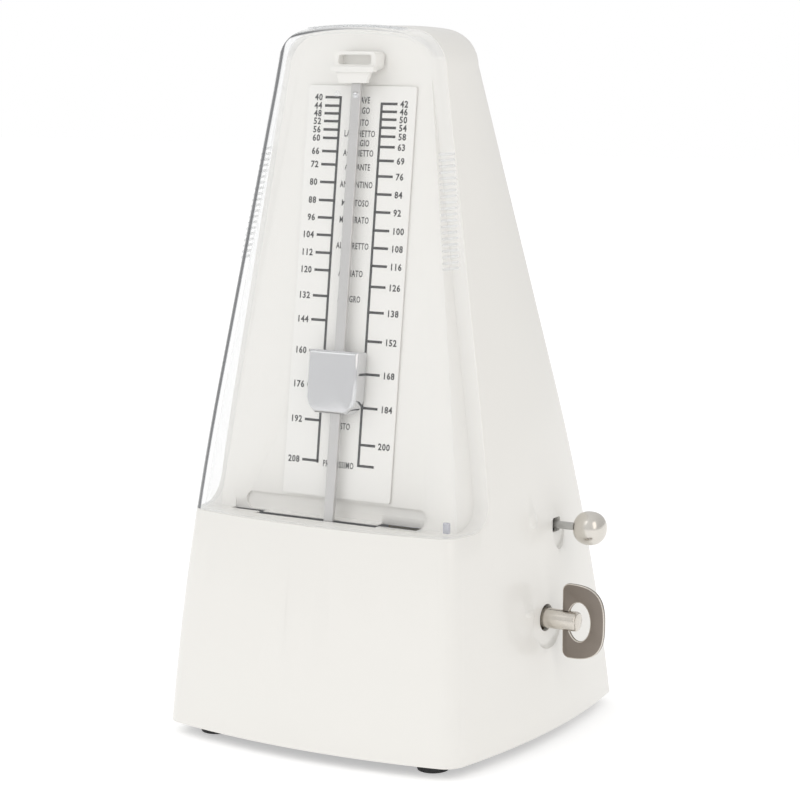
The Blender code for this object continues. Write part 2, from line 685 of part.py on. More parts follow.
def winding():
    """Arbor, ratchet, key shaft, key grip and its rivet; the click and its spring; the mainspring."""
    rod("winding_arbor", "satin_steel", WINDING, X_AXIS, 2.5, 11.2, 50.8, 20)
    ratchet = []
    count = 20
    for k in range(count):
        a = 2 * math.pi * k / count
        b = a + 2 * math.pi * 0.14 / count
        ratchet += [(8.6 * math.cos(a), 8.6 * math.sin(a)), (7.0 * math.cos(b), 7.0 * math.sin(b))]
    wheel("ratchet_wheel", "satin_steel", WINDING, ratchet, 42.4, 43.9, 2.8)
    shaft = turned("key_shaft", "nickel", WINDING, X_AXIS,
                   [(2.8, 51.2), (3.15, 51.6), (3.15, 66.2), (2.7, 66.6)], 20)
    low, high = WINDING.y - 0.9, WINDING.y + 0.9
    combine(shaft, box("slot", "nickel", (60.9, low, 30), (70, high, 50)))
    low_x, high_x = KEY_X
    heel, tall, power = 2.0, 11.8, 2 / 2.6
    outer = [(low_x + heel, -tall), (low_x + 0.6, 0.6 - tall), (low_x, heel - tall)]
    outer += [(x, -z) for x, z in outer[::-1]]
    for k in range(1, 16):
        a = math.pi / 2 - math.pi * k / 16
        x = low_x + heel + (high_x - low_x - heel) * math.cos(a) ** power
        outer.append((x, math.copysign(tall * abs(math.sin(a)) ** power, a)))
    outer = [(x, WINDING.z + z) for x, z in outer]

    def on_key(u, v, along):
        return Vector((u, along, v))

    grip = extruded("key_grip", "nickel", outer, on_key, WINDING.y - 0.6, WINDING.y + 0.6, WINDING)
    eye = [(x + 68.6, z + WINDING.z) for x, z in ((3.9 * math.cos(a), 6.2 * math.sin(a)) for a in
           (2 * math.pi * k / 24 for k in range(24)))]
    combine(grip, extruded("eye", "nickel", eye, on_key, -5, 5))
    rivet = Vector((62.9, WINDING.y, WINDING.z))
    combine(grip, rod("rivet_hole", "nickel", rivet, Y_AXIS, 1.1, -3, 3, 12))
    combine(shaft, rod("rivet_hole", "nickel", rivet, Y_AXIS, 1.1, -5, 5, 12))
    rod("key_rivet", "satin_steel", rivet, Y_AXIS, 0.8, -3.0, 3.0, 12, WINDING)

    pivot = click_pivot()
    arm = pivot - WINDING
    line = math.atan2(arm.z, arm.y)
    nose = WINDING + Vector((0, math.cos(line - 0.75), math.sin(line - 0.75))) * 9.3
    reach = nose - pivot
    along = reach.normalized()
    square = Vector((0, -along.z, along.y))
    outline = [(p.y - pivot.y, p.z - pivot.z) for p in (
        pivot - along * 2.6 + square * 1.2, pivot - along * 2.6 - square * 1.2, pivot - square * 2.4,
        nose - square * 0.5, nose + square * 0.3, pivot + square * 2.4)]
    click = extruded("click", "satin_steel", outline, at_centre(pivot), 42.4, 43.9, pivot)
    combine(click, rod("bore", "satin_steel", pivot, X_AXIS, 1.4, 40, 46, 12))
    profile = [(1.1, 41.9), (1.1, 44.2), (2.4, 44.2), (2.4, 45.4)]
    turned("click_screw", "satin_steel", pivot, X_AXIS, profile, 14)
    leaf = [(-4.6, 3.6), (-4.6, 3.3), (4.5, 4.6), (4.5, 4.9)]
    extruded("click_spring", "blue_steel", leaf, at_centre(pivot), 42.6, 43.7, pivot)
    mainspring()


def click_pivot():
    """Where the click turns, up and behind the winding arbor."""
    return WINDING + Vector((0, 11.0, 8.4))


def mainspring():
    """The open coil of the mainspring, from the arbor out to the post on the great wheel."""
    turns, start, end, thick = 4, 3.6, 16.0, 0.5
    points = 64
    outline = []
    for k in range(points + 1):
        a = 2 * math.pi * turns * k / points
        outline.append(((start + (end - start) * k / points), a))
    outer = [((r + thick / 2) * math.cos(a), (r + thick / 2) * math.sin(a)) for r, a in outline]
    inner = [((r - thick / 2) * math.cos(a), (r - thick / 2) * math.sin(a)) for r, a in outline]
    extruded("mainspring", "blue_steel", outer + inner[::-1], at_centre(WINDING), 21.5, 29.5, WINDING)


def plates():
    """The two movement plates with bent feet, four pillars and the screws of the feet."""
    low = 8.6
    inner = [(-38, low), (28, low), (28, 52), (24, 56), (4, 56), (4, 80), (12, 88), (12, 104)]
    inner += [(-8, 104), (-8, 56), (-34, 56), (-38, 52)]
    outer = [(-38, low), (28, low), (28, 52), (24, 56), (-34, 56), (-38, 52)]
    sheets = (("inner_plate", inner, INNER_PLATE_X, 1), ("outer_plate", outer, OUTER_PLATE_X, -1))
    for name, outline, x, side in sheets:
        plate = extruded(name, "brass", outline, on_x, x, x + PLATE_METAL)
        reach = (x + 0.5, x + 11) if side > 0 else (x - 9.4, x + 1.1)
        foot = box("foot", "brass", (reach[0], -38, low), (reach[1], 28, low + 1.6))
        combine(plate, foot, "UNION")
        for centre, radius in ((WINDING, 2.85), (SECOND, 1.45), (ESCAPE, 1.25)):
            combine(plate, rod("hole", "brass", centre, X_AXIS, radius, x - 3, x + 5, 12))
        for y in (-33.0, 20.0):
            spot = Vector((x + 6 * side, y, 0))
            combine(plate, rod("hole", "brass", spot, Z_AXIS, 1.5, 5, 12, 8))
            where = ("front" if y < 0 else "rear") + ("_inner" if side > 0 else "_outer")
            profile = [(1.1, 5.0), (1.1, 10.5), (2.4, 10.5), (2.4, 11.4), (1.8, 11.9)]
            turned("movement_screw_" + where, "satin_steel", spot, Z_AXIS, profile, 8)
        if side < 0:
            combine(plate, rod("hole", "brass", click_pivot(), X_AXIS, 1.4, x - 3, x + 5, 12))
        for spot in PILLARS:
            combine(plate, rod("hole", "brass", (0, *spot), X_AXIS, 1.35, x - 3, x + 5, 8))
    start, end = INNER_PLATE_X + PLATE_METAL + GAP, OUTER_PLATE_X - GAP
    for number, spot in enumerate(PILLARS, 1):
        profile = [(1.0, start - 1.8), (1.0, start), (2.0, start), (2.0, end), (1.0, end), (1.0, end + 1.8)]
        turned(f"pillar_{number}", "brass", (0, *spot), X_AXIS, profile, 8)


PILLARS = ((-34.0, 15.0), (-33.0, 51.5), (24.0, 15.0), (24.0, 51.0))


# ---------------------------------------------------------------- bell work

def bell():
    """Bell cup, its post and screw, the bracket, the cam block on its pin, the hammer and its spring."""
    centre = Vector((0, *BELL_YZ))
    dome = [(1.8, -12.0), (8.0, -11.6), (12.5, -9.6), (15.2, -6.0), (16.0, -1.0), (16.2, 4.0),
            (15.2, 4.0), (15.0, -1.0), (14.2, -5.4), (11.8, -8.6), (7.6, -10.4), (1.8, -10.8)]
    turned("bell_cup", "nickel", centre, X_AXIS, dome, 24, ring=True)
    rod("bell_post", "satin_steel", centre, X_AXIS, 2.2, -10.4, INNER_PLATE_X - GAP, 14)
    profile = [(2.2, -14.2), (3.2, -13.6), (3.2, -12.4), (1.4, -12.4), (1.4, -10.8)]
    turned("bell_screw", "satin_steel", centre, X_AXIS, profile, 14)

    tabs = box("bell_bracket", "brass", (2.0, -7.6, 60.0), (3.6, 30.0, 75.0))
    combine(tabs, box("leg", "brass", (2.4, -7.6, 60.0), (11.5, -6.0, 75.0)), "UNION")
    combine(tabs, box("tab", "brass", (10.2, -7.6, 60.0), (11.7, 3.4, 75.0)), "UNION")
    combine(tabs, rod("hole", "brass", CAMS, X_AXIS, 2.3, 0, 5, 14))
    combine(tabs, rod("hole", "brass", (0, *HAMMER_YZ), X_AXIS, 1.8, 0, 5, 14))
    rod("cam_pin", "satin_steel", CAMS, X_AXIS, 2.0, 1.0, 30.0, 14)

    phase = mesh_phase(WINDING, GREAT_TEETH, 0.0, CAMS, BELL_TEETH)
    drum = wheel("bell_cams", "dark_plastic", CAMS, teeth(BELL_TEETH, GREAT_MODULE, phase), 25.6, 40.6, 0)
    for slot, beats in enumerate((2, 3, 4, 6)):
        start = 11.0 + 3.7 * slot
        outline = [
            ((5.4 + 0.9 * math.cos(beats * a)) * math.cos(a), (5.4 + 0.9 * math.cos(beats * a)) * math.sin(a))
            for a in (2 * math.pi * k / 18 for k in range(18))
        ]
        cam = extruded("cam", "dark_plastic", outline, at_centre(CAMS), start, start + 2.6, CAMS)
        combine(drum, cam, "UNION")
        core = rod("core", "dark_plastic", CAMS, X_AXIS, 3.6, start + 2, start + 5, 12)
        combine(drum, core, "UNION")
    combine(drum, rod("bore", "dark_plastic", CAMS, X_AXIS, 2.35, 5, 45, 14))

    hinge = Vector((0, *HAMMER_YZ))
    rod("hammer_arbor", "satin_steel", hinge, X_AXIS, 1.4, -4.0, 22.0, 14)
    collar = tube("hammer_arm", "satin_steel", hinge, X_AXIS, 1.7, 2.9, -3.0, 1.4, 14)
    shaft = [(-0.9, 2.2), (0.9, 2.2), (0.9, 24.5), (-0.9, 24.5)]
    combine(collar, extruded("shaft", "satin_steel", shaft, at_centre(hinge), -1.8, 0.2, hinge), "UNION")
    head = hinge + Vector((0, 0, BELL_YZ[1] - HAMMER_YZ[1] + 1.5))
    turned("hammer_head", "brass", head, Y_AXIS, [(2.0, -2.8), (2.6, -2.2), (2.6, 2.2), (2.0, 2.8)], 16, hinge)
    tail = tube("hammer_lifter", "satin_steel", hinge, X_AXIS, 1.7, 2.9, 16.2, 20.2, 14)
    finger = [(-5.0, -2.6), (-5.0, -1.8), (-2.2, 0.2), (-2.2, -1.8)]
    combine(tail, extruded("finger", "satin_steel", finger, at_centre(hinge), 17.0, 19.0, hinge), "UNION")
    coil_spring("hammer_spring", hinge, 5.0, 15.0)


def coil_spring(name, centre, start, end):
    """A wire helix round an arbor along X."""
    turns, wire, radius, sides = 6, 0.35, 2.4, 4
    loops = []
    for k in range(turns * 8 + 1):
        a = 2 * math.pi * k / 8
        out = Vector((0, math.cos(a), math.sin(a)))
        spot = centre + X_AXIS * (start + (end - start) * k / (turns * 8)) + out * radius
        loops.append([
            spot + (out * math.cos(b) + X_AXIS * math.sin(b)) * wire
            for b in (2 * math.pi * j / sides for j in range(sides))
        ])
    return add(name, *rings(loops), "blue_steel", centre)


def selector():
    """The pull rod that slides the bell cams, and the round knob on its end."""
    profile = [(1.25, 36.0), (1.25, 40.9), (3.2, 40.9), (3.2, 42.3), (1.25, 42.3), (1.25, 59.0)]
    turned("selector_rod", "satin_steel", CAMS, X_AXIS, profile, 16)
    loops = [(2.3, KNOB_X - 5.2), (2.6, KNOB_X - 4.6)]
    for k in range(1, 10):
        a = math.pi * k / 10 + 0.18
        a = min(a, math.pi - 0.01)
        loops.append((KNOB_RADIUS * math.sin(a), KNOB_X - 5.2 * math.cos(a)))
    knob = turned("selector_knob", "nickel", CAMS, X_AXIS, loops, 22)
    combine(knob, rod("socket", "nickel", CAMS, X_AXIS, 1.55, KNOB_X - 8, KNOB_X - 4.3, 14))
    return knob


def main():
    """Clears the scene and builds every piece."""
    for old in list(bpy.data.objects):
        bpy.data.objects.remove(old, do_unlink=True)
    housing()
    front_cover()
    scale_plate()
    rod_catch()
    base()
    pendulum()
    tempo_weight()
    bracket()
    plates()
    going_train()
    winding()
    bell()
    selector()
    for piece in bpy.data.objects:
        piece.location.x += FRAME_X * MM


main()
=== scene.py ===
"""Looks of a wind-up pyramid metronome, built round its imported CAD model.

Sizes are in millimetres from the middle of the base on the floor, with X to the right, Y to the
back and Z up. Every mesh is moved to the frame's own origin and scaled to metres as it is made.
"""

import json
import logging
import math
from collections.abc import Callable, Iterable, Sequence
from dataclasses import dataclass, field
from enum import Enum
from typing import Any

import bmesh
import bpy
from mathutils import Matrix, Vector


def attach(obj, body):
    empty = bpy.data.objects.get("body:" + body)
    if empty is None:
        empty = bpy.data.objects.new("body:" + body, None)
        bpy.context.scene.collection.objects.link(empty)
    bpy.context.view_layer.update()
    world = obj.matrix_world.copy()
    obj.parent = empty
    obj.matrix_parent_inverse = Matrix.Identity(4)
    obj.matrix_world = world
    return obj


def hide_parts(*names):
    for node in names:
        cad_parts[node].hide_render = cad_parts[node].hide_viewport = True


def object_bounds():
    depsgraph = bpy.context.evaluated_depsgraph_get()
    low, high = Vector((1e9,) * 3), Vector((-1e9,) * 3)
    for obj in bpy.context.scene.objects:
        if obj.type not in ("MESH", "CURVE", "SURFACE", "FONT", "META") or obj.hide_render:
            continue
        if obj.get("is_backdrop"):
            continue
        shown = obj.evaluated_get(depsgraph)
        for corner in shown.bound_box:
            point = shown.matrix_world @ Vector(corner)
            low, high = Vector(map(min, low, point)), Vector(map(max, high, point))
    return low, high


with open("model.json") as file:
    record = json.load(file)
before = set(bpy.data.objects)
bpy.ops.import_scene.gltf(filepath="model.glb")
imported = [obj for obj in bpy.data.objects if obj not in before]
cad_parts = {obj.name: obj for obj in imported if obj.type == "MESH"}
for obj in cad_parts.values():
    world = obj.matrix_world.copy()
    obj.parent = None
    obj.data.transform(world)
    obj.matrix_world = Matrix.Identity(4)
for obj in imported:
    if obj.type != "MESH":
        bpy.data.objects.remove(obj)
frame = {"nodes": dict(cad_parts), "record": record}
CAD_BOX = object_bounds()

log = logging.getLogger("metronome")

MM = 0.001
FRAME_X = -8.75
GAP = 0.3
Colour = tuple[float, float, float]
Point = Sequence[float]


# ---------------------------------------------------------------- shaders

class Socket:
    """A shader value that Python arithmetic turns into Math nodes."""

    def __init__(self, graph: "Graph", socket: bpy.types.NodeSocket) -> None:
        """Keeps the socket and the graph it belongs to."""
        self.graph = graph
        self.socket = socket

    def _math(self, operation: str, first: Any, second: Any) -> "Socket":
        """Adds one Math node."""
        return self.graph.node("ShaderNodeMath", {"operation": operation}, {0: first, 1: second})

    def __add__(self, other: Any) -> "Socket":
        """Sum."""
        return self._math("ADD", self, other)

    def __radd__(self, other: Any) -> "Socket":
        """Sum, value first."""
        return self._math("ADD", other, self)

    def __sub__(self, other: Any) -> "Socket":
        """Difference."""
        return self._math("SUBTRACT", self, other)

    def __rsub__(self, other: Any) -> "Socket":
        """Difference, value first."""
        return self._math("SUBTRACT", other, self)

    def __mul__(self, other: Any) -> "Socket":
        """Product."""
        return self._math("MULTIPLY", self, other)

    def __rmul__(self, other: Any) -> "Socket":
        """Product, value first."""
        return self._math("MULTIPLY", other, self)

    def __pow__(self, other: Any) -> "Socket":
        """Power."""
        return self._math("POWER", self, other)


class Graph:
    """The node tree of a material or of the sky."""

    def __init__(self, owner: bpy.types.Material | bpy.types.World, output: str) -> None:
        """Empties the owner's tree and adds an output.

        Args:
            owner: The material or the world.
            output: The type of the output node.
        """
        owner.use_nodes = True
        self.owner = owner
        self.tree = owner.node_tree
        self.tree.nodes.clear()
        self.output = self.tree.nodes.new(output)

    def node(self, kind: str, settings: dict[str, Any] | None = None,
             inputs: dict[int | str, Any] | None = None, output: int | str = 0) -> Socket:
        """Adds a node.

        Args:
            kind: The node's type.
            settings: Attributes set before the inputs.
            inputs: Values or links by socket name or number.
            output: Which output to return.

        Returns:
            The chosen output.
        """
        made = self.tree.nodes.new(kind)
        for key, value in (settings or {}).items():
            setattr(made, key, value)
        for key, value in (inputs or {}).items():
            if isinstance(value, Socket):
                self.tree.links.new(value.socket, made.inputs[key])
            else:
                made.inputs[key].default_value = value
        return Socket(self, made.outputs[output])

    def place(self, stretch: Point = (1, 1, 1)) -> Socket:
        """Object coordinates, stretched along the axes."""
        spot = self.node("ShaderNodeTexCoord", output="Object")
        return self.node("ShaderNodeMapping", {}, {"Vector": spot, "Scale": tuple(stretch)})

    def noise(self, scale: float, detail: float = 2.0, stretch: Point = (1, 1, 1)) -> Socket:
        """A cloud pattern from 0 to 1."""
        values = {"Vector": self.place(stretch), "Scale": scale, "Detail": detail}
        return self.node("ShaderNodeTexNoise", {}, values, "Fac")

    def blend(self, share: Socket, first: Colour, second: Colour) -> Socket:
        """A colour between two others."""
        values = {0: share, 6: (*first, 1.0), 7: (*second, 1.0)}
        return self.node("ShaderNodeMix", {"data_type": "RGBA"}, values, 2)

    def ramp(self, value: Socket, low: float, high: float) -> Socket:
        """A smooth step from 0 at low to 1 at high."""
        values = {"Value": value, "From Min": low, "From Max": high}
        return self.node("ShaderNodeMapRange", {"interpolation_type": "SMOOTHSTEP"}, values)

    def bump(self, height: Socket, depth: float, strength: float = 1.0) -> Socket:
        """A normal from a height pattern; depth is in millimetres."""
        values = {"Height": height, "Distance": depth * MM, "Strength": strength}
        return self.node("ShaderNodeBump", {}, values, "Normal")

    def show(self, shader: Socket) -> None:
        """Links a shader to the output."""
        self.tree.links.new(shader.socket, self.output.inputs["Surface"])

    def finish(self, inputs: dict[str, Any], solid_colour: Colour) -> bpy.types.Material:
        """Closes a material's tree with a Principled shader.

        Args:
            inputs: Values or links of the shader's sockets.
            solid_colour: Colour of the material in a plain view.

        Returns:
            The material.
        """
        self.show(self.node("ShaderNodeBsdfPrincipled", {}, inputs))
        self.owner.diffuse_color = (*solid_colour, 1.0)
        return self.owner


def material_graph(name: str) -> Graph:
    """The empty tree of a new material."""
    return Graph(bpy.data.materials.new(name), "ShaderNodeOutputMaterial")


@dataclass(frozen=True)
class Moulded:
    """Moulded plastic: an even colour with a slight drift, a soft gloss and a fine ripple."""

    name: str
    colour: Colour
    roughness: float = 0.3
    drift: float = 0.02
    ripple: float = 0.012
    gloss: float = 0.0

    def make(self) -> bpy.types.Material:
        """Builds the material."""
        graph = material_graph(self.name)
        cloud = graph.noise(22.0, 3.0)
        fine = graph.noise(900.0, 2.0)
        dark = tuple(c * (1 - self.drift) for c in self.colour)
        light = tuple(min(c * (1 + self.drift), 1.0) for c in self.colour)
        return graph.finish({
            "Base Color": graph.blend(cloud, dark, light),
            "Roughness": self.roughness - 0.05 + 0.06 * cloud + 0.04 * fine,
            "Normal": graph.bump(fine, self.ripple, 0.5),
            "Coat Weight": self.gloss,
            "Coat Roughness": 0.12,
            "Specular IOR Level": 0.45,
        }, self.colour)


@dataclass(frozen=True)
class Clear:
    """Clear plastic that shows most where it is seen edge on.

    The dark line along the rounded edges is shade laid on by viewing angle and by which way a face
    points, paler on the right. It isn't refraction.
    """

    name: str
    colour: Colour
    face_on: float
    edge_on: float
    power: float
    outline: float = 0.0
    roughness: float = 0.06
    dark: Colour = (0.045, 0.047, 0.053)

    def make(self) -> bpy.types.Material:
        """Builds the material."""
        graph = material_graph(self.name)
        facing = graph.node("ShaderNodeLayerWeight", {}, {"Blend": 0.5}, "Facing")
        behind = graph.node("ShaderNodeNewGeometry", output="Backfacing")
        normal = graph.node("ShaderNodeNewGeometry", output="Normal")
        upward = graph.node("ShaderNodeSeparateXYZ", {}, {"Vector": normal}, "Z")
        aside = graph.node("ShaderNodeSeparateXYZ", {}, {"Vector": normal}, "X")
        side_on = aside * aside
        rounded_side = graph.ramp(side_on, 0.07, 0.18)
        rounded_top = graph.ramp(upward, 0.25, 0.5)
        rounds = 1 - (1 - rounded_side) * (1 - rounded_top)
        rounds = rounds * (1 - graph.ramp(side_on, 0.80, 0.90))
        rounds = rounds * (1 - graph.ramp(upward, 0.6, 0.98))
        rounds = rounds * (1 - 0.75 * graph.ramp(aside, 0.1, 0.5))
        band = graph.ramp(facing, 0.28, 0.42) * (1 - graph.ramp(facing, 0.70, 0.86))
        line = (1 - behind) * band * rounds * self.outline
        veil = self.face_on + (self.edge_on - self.face_on) * facing ** self.power
        lit = graph.node("ShaderNodeLightPath", output="Is Shadow Ray")
        bounced = graph.node("ShaderNodeLightPath", output="Is Diffuse Ray")
        let_light_in = (1 - 0.9 * lit) * (1 - 0.9 * bounced)
        made = graph.finish({
            "Base Color": graph.blend(line, self.colour, self.dark),
            "Roughness": self.roughness + 0.05 * graph.noise(60.0, 3.0),
            "Alpha": (veil + (1 - veil) * line) * let_light_in,
            "Specular IOR Level": 0.6,
            "Coat Weight": 0.3,
            "Coat Roughness": 0.03,
        }, self.colour)
        made.surface_render_method = "BLENDED"
        return made


class Grain(Enum):
    """Which way a metal was brushed or drawn."""

    NONE = (1.0, 1.0, 1.0)
    ALONG_X = (0.04, 1.0, 1.0)
    ALONG_Z = (1.0, 1.0, 0.03)


@dataclass(frozen=True)
class Metal:
    """A metal finish with fine brush lines and a little tarnish."""

    name: str
    colour: Colour
    roughness: float
    grain: Grain = Grain.NONE
    lines: float = 0.004
    tarnish: float = 0.12

    def make(self) -> bpy.types.Material:
        """Builds the material."""
        graph = material_graph(self.name)
        lines = graph.noise(2600.0, 3.0, self.grain.value)
        cloud = graph.noise(140.0, 4.0)
        dull = tuple(c * (1 - self.tarnish) for c in self.colour)
        return graph.finish({
            "Base Color": graph.blend(cloud, dull, self.colour),
            "Metallic": 1.0,
            "Roughness": self.roughness - 0.04 + 0.08 * cloud + 0.05 * lines,
            "Normal": graph.bump(lines, self.lines, 0.6),
        }, self.colour)


@dataclass(frozen=True)
class Rubber:
    """Matt black rubber with a dusty bloom."""

    name: str
    colour: Colour = (0.018, 0.018, 0.019)

    def make(self) -> bpy.types.Material:
        """Builds the material."""
        graph = material_graph(self.name)
        bloom = graph.noise(180.0, 5.0)
        pale = tuple(c * 2.2 for c in self.colour)
        return graph.finish({
            "Base Color": graph.blend(bloom, self.colour, pale),
            "Roughness": 0.62 + 0.25 * bloom,
            "Normal": graph.bump(graph.noise(1500.0, 3.0), 0.02, 0.6),
        }, self.colour)


@dataclass(frozen=True)
class Ink:
    """Screen-printed ink, a touch uneven."""

    name: str
    colour: Colour = (0.02, 0.019, 0.018)

    def make(self) -> bpy.types.Material:
        """Builds the material."""
        graph = material_graph(self.name)
        uneven = graph.noise(1200.0, 3.0)
        thin = tuple(c * 1.8 for c in self.colour)
        return graph.finish({
            "Base Color": graph.blend(uneven, self.colour, thin),
            "Roughness": 0.42 + 0.2 * uneven,
        }, self.colour)


@dataclass(frozen=True)
class Backdrop:
    """The plain white floor, which glows a little so that shadows stay pale."""

    name: str
    colour: Colour
    glow: float = 0.42

    def make(self) -> bpy.types.Material:
        """Builds the material."""
        graph = material_graph(self.name)
        cloud = graph.noise(3.0, 2.0)
        pale = tuple(c * 0.985 for c in self.colour)
        return graph.finish({
            "Base Color": graph.blend(cloud, pale, self.colour),
            "Roughness": 0.9,
            "Specular IOR Level": 0.1,
            "Emission Color": (1.0, 1.0, 1.0, 1.0),
            "Emission Strength": self.glow,
        }, self.colour)


FINISHES: dict[str, Any] = {f.name: f for f in (
    Moulded("ivory_shell", (0.825, 0.812, 0.776), 0.3, 0.012, 0.012, 0.25),
    Moulded("dial_white", (0.835, 0.825, 0.795), 0.36, 0.008, 0.006),
    Moulded("black_base", (0.022, 0.022, 0.024), 0.5, 0.1, 0.03),
    Moulded("dark_cams", (0.03, 0.03, 0.034), 0.42, 0.1, 0.02),
    Clear("clear_outside", (0.88, 0.90, 0.92), 0.05, 0.5, 2.8, 0.95),
    # The inner faces are a darker grey than the outer ones and show where a wall is seen edge on:
    # painted shade.
    Clear("clear_inside", (0.45, 0.46, 0.48), 0.004, 0.6, 7.0),
    Clear("clear_edge", (0.90, 0.91, 0.93), 0.1, 0.5, 3.0),
    Clear("clear_rib", (0.74, 0.76, 0.78), 0.12, 0.85, 1.8, 0.0, 0.12),
    Clear("clear_tab", (0.42, 0.43, 0.50), 0.55, 0.8, 1.5),
    Metal("rod_steel", (0.62, 0.61, 0.60), 0.3, Grain.ALONG_Z, 0.005, 0.05),
    Metal("steel", (0.56, 0.56, 0.55), 0.3, Grain.ALONG_X, 0.003),
    Metal("mirror_chrome", (0.68, 0.68, 0.69), 0.09, Grain.NONE, 0.0006, 0.02),
    Metal("nickel_shaft", (0.70, 0.66, 0.60), 0.24, Grain.ALONG_X, 0.004),
    Metal("nickel_knob", (0.72, 0.69, 0.64), 0.2, Grain.NONE, 0.002, 0.08),
    Metal("nickel_grip", (0.27, 0.235, 0.205), 0.42, Grain.ALONG_Z, 0.006, 0.1),
    Metal("bell_nickel", (0.66, 0.64, 0.60), 0.16),
    Metal("brass", (0.68, 0.50, 0.22), 0.28, Grain.ALONG_X),
    Metal("blue_steel", (0.07, 0.10, 0.20), 0.26),
    Metal("lead", (0.20, 0.20, 0.215), 0.6, Grain.NONE, 0.03, 0.3),
    Rubber("foot_rubber"),
    Ink("print_ink"),
)}


def material(name: str) -> bpy.types.Material:
    """The material of a finish, made once."""
    return bpy.data.materials.get(name) or FINISHES[name].make()


# ---------------------------------------------------------------- meshes

def to_frame(point: Point) -> Vector:
    """A point in millimetres from the middle of the base, in the frame's metres."""
    return Vector((point[0] + FRAME_X, point[1], point[2])) * MM


def solid(name: str, points: Iterable[Point], faces: Sequence[Sequence[int]],
          finish: str) -> bpy.types.Object:
    """One object from points in millimetres.

    Args:
        name: The piece's name.
        points: Corners, in millimetres.
        faces: Faces by corner number.
        finish: The name of its finish.

    Returns:
        The object, with its faces pointing out.
    """
    mesh = bpy.data.meshes.new(name)
    mesh.from_pydata([to_frame(p) for p in points], [], faces)
    work = bmesh.new()
    work.from_mesh(mesh)
    bmesh.ops.recalc_face_normals(work, faces=work.faces)
    work.to_mesh(mesh)
    work.free()
    mesh.materials.append(material(finish))
    made = bpy.data.objects.new(name, mesh)
    bpy.context.scene.collection.objects.link(made)
    return made


def rings(loops: Sequence[Sequence[Point]],
          tip: Point | None = None) -> tuple[list[Point], list[Sequence[int]]]:
    """Points and faces that join equal rings, capped flat or, at the end, to a tip."""
    count = len(loops[0])
    points = [p for loop in loops for p in loop]
    faces: list[Sequence[int]] = []
    for i in range(len(loops) - 1):
        low, high = i * count, (i + 1) * count
        for k in range(count):
            n = (k + 1) % count
            faces.append((low + k, low + n, high + n, high + k))
    last = (len(loops) - 1) * count
    faces.append(tuple(range(count))[::-1])
    if tip is None:
        faces.append(tuple(last + k for k in range(count)))
    else:
        points.append(tip)
        faces += [(last + k, last + (k + 1) % count, last + count) for k in range(count)]
    return points, faces


def extruded(name: str, finish: str, outline: Sequence[tuple[float, float]],
             place: Callable[[float, float, float], Vector], start: float,
             end: float) -> bpy.types.Object:
    """An outline pushed from one distance to another."""
    loops = [[place(u, v, along) for u, v in outline] for along in (start, end)]
    return solid(name, *rings(loops), finish)


def turned(name: str, finish: str, centre: Point, axis: Point,
           profile: Sequence[tuple[float, float]], sides: int = 48,
           squash: tuple[float, float] = (1.0, 1.0)) -> bpy.types.Object:
    """A turned solid from (radius, distance) pairs; squash makes it oval."""
    centre, axis = Vector(centre), Vector(axis).normalized()
    side = Vector((1, 0, 0)) if abs(axis.x) < 0.9 else Vector((0, 1, 0))
    second = axis.cross(side).normalized()
    first = second.cross(axis)
    loops = []
    for radius, along in profile:
        loop = []
        for k in range(sides):
            a = 2 * math.pi * k / sides
            out = first * math.cos(a) * squash[0] + second * math.sin(a) * squash[1]
            loop.append(centre + axis * along + out * max(radius, 0.01))
        loops.append(loop)
    return solid(name, *rings(loops), finish)


def on_x(u: float, v: float, along: float) -> Vector:
    """Outline in Y and Z, pushed along X."""
    return Vector((along, u, v))


def on_z(u: float, v: float, along: float) -> Vector:
    """Outline in X and Y, pushed along Z."""
    return Vector((u, v, along))


def on_y(u: float, v: float, along: float) -> Vector:
    """Outline in X and Z, pushed along Y."""
    return Vector((u, along, v))


def block(name: str, finish: str, low: Point, high: Point) -> bpy.types.Object:
    """A block between two corners."""
    outline = [(low[0], low[1]), (high[0], low[1]), (high[0], high[1]), (low[0], high[1])]
    return extruded(name, finish, outline, on_z, low[2], high[2])


def rounded(low: Point, high: Point, radius: float, steps: int = 6) -> list[tuple[float, float]]:
    """A rectangle outline with round corners."""
    outline = []
    corners = ((high[0], low[1], -90), (high[0], high[1], 0), (low[0], high[1], 90),
               (low[0], low[1], 180))
    for x, y, start in corners:
        cx = x - math.copysign(radius, x - (low[0] + high[0]) / 2)
        cy = y - math.copysign(radius, y - (low[1] + high[1]) / 2)
        for k in range(steps + 1):
            a = math.radians(start + 90 * k / steps)
            outline.append((cx + radius * math.cos(a), cy + radius * math.sin(a)))
    return outline


def evaluated(piece: bpy.types.Object) -> bpy.types.Object:
    """Applies a piece's modifiers."""
    bpy.context.view_layer.update()
    seen = piece.evaluated_get(bpy.context.evaluated_depsgraph_get())
    result = bpy.data.meshes.new_from_object(seen)
    piece.modifiers.clear()
    old = piece.data
    piece.data = result
    bpy.data.meshes.remove(old)
    return piece


def combine(target: bpy.types.Object, tool: bpy.types.Object,
            operation: str = "DIFFERENCE") -> bpy.types.Object:
    """Cuts or joins one solid with another and drops the tool."""
    change = target.modifiers.new("shape", "BOOLEAN")
    change.solver = "EXACT"
    change.operation = operation
    change.object = tool
    evaluated(target)
    bpy.data.objects.remove(tool)
    return target


def cleaned(piece: bpy.types.Object, merge: float = 0.01, flat: float = 0.2) -> bpy.types.Object:
    """Merges points closer than merge millimetres and joins faces flatter than flat degrees."""
    work = bmesh.new()
    work.from_mesh(piece.data)
    bmesh.ops.remove_doubles(work, verts=work.verts, dist=merge * MM)
    if flat:
        bmesh.ops.dissolve_limit(work, angle_limit=math.radians(flat), verts=work.verts,
                                 edges=work.edges, delimit={"MATERIAL"})
    work.to_mesh(piece.data)
    work.free()
    return piece


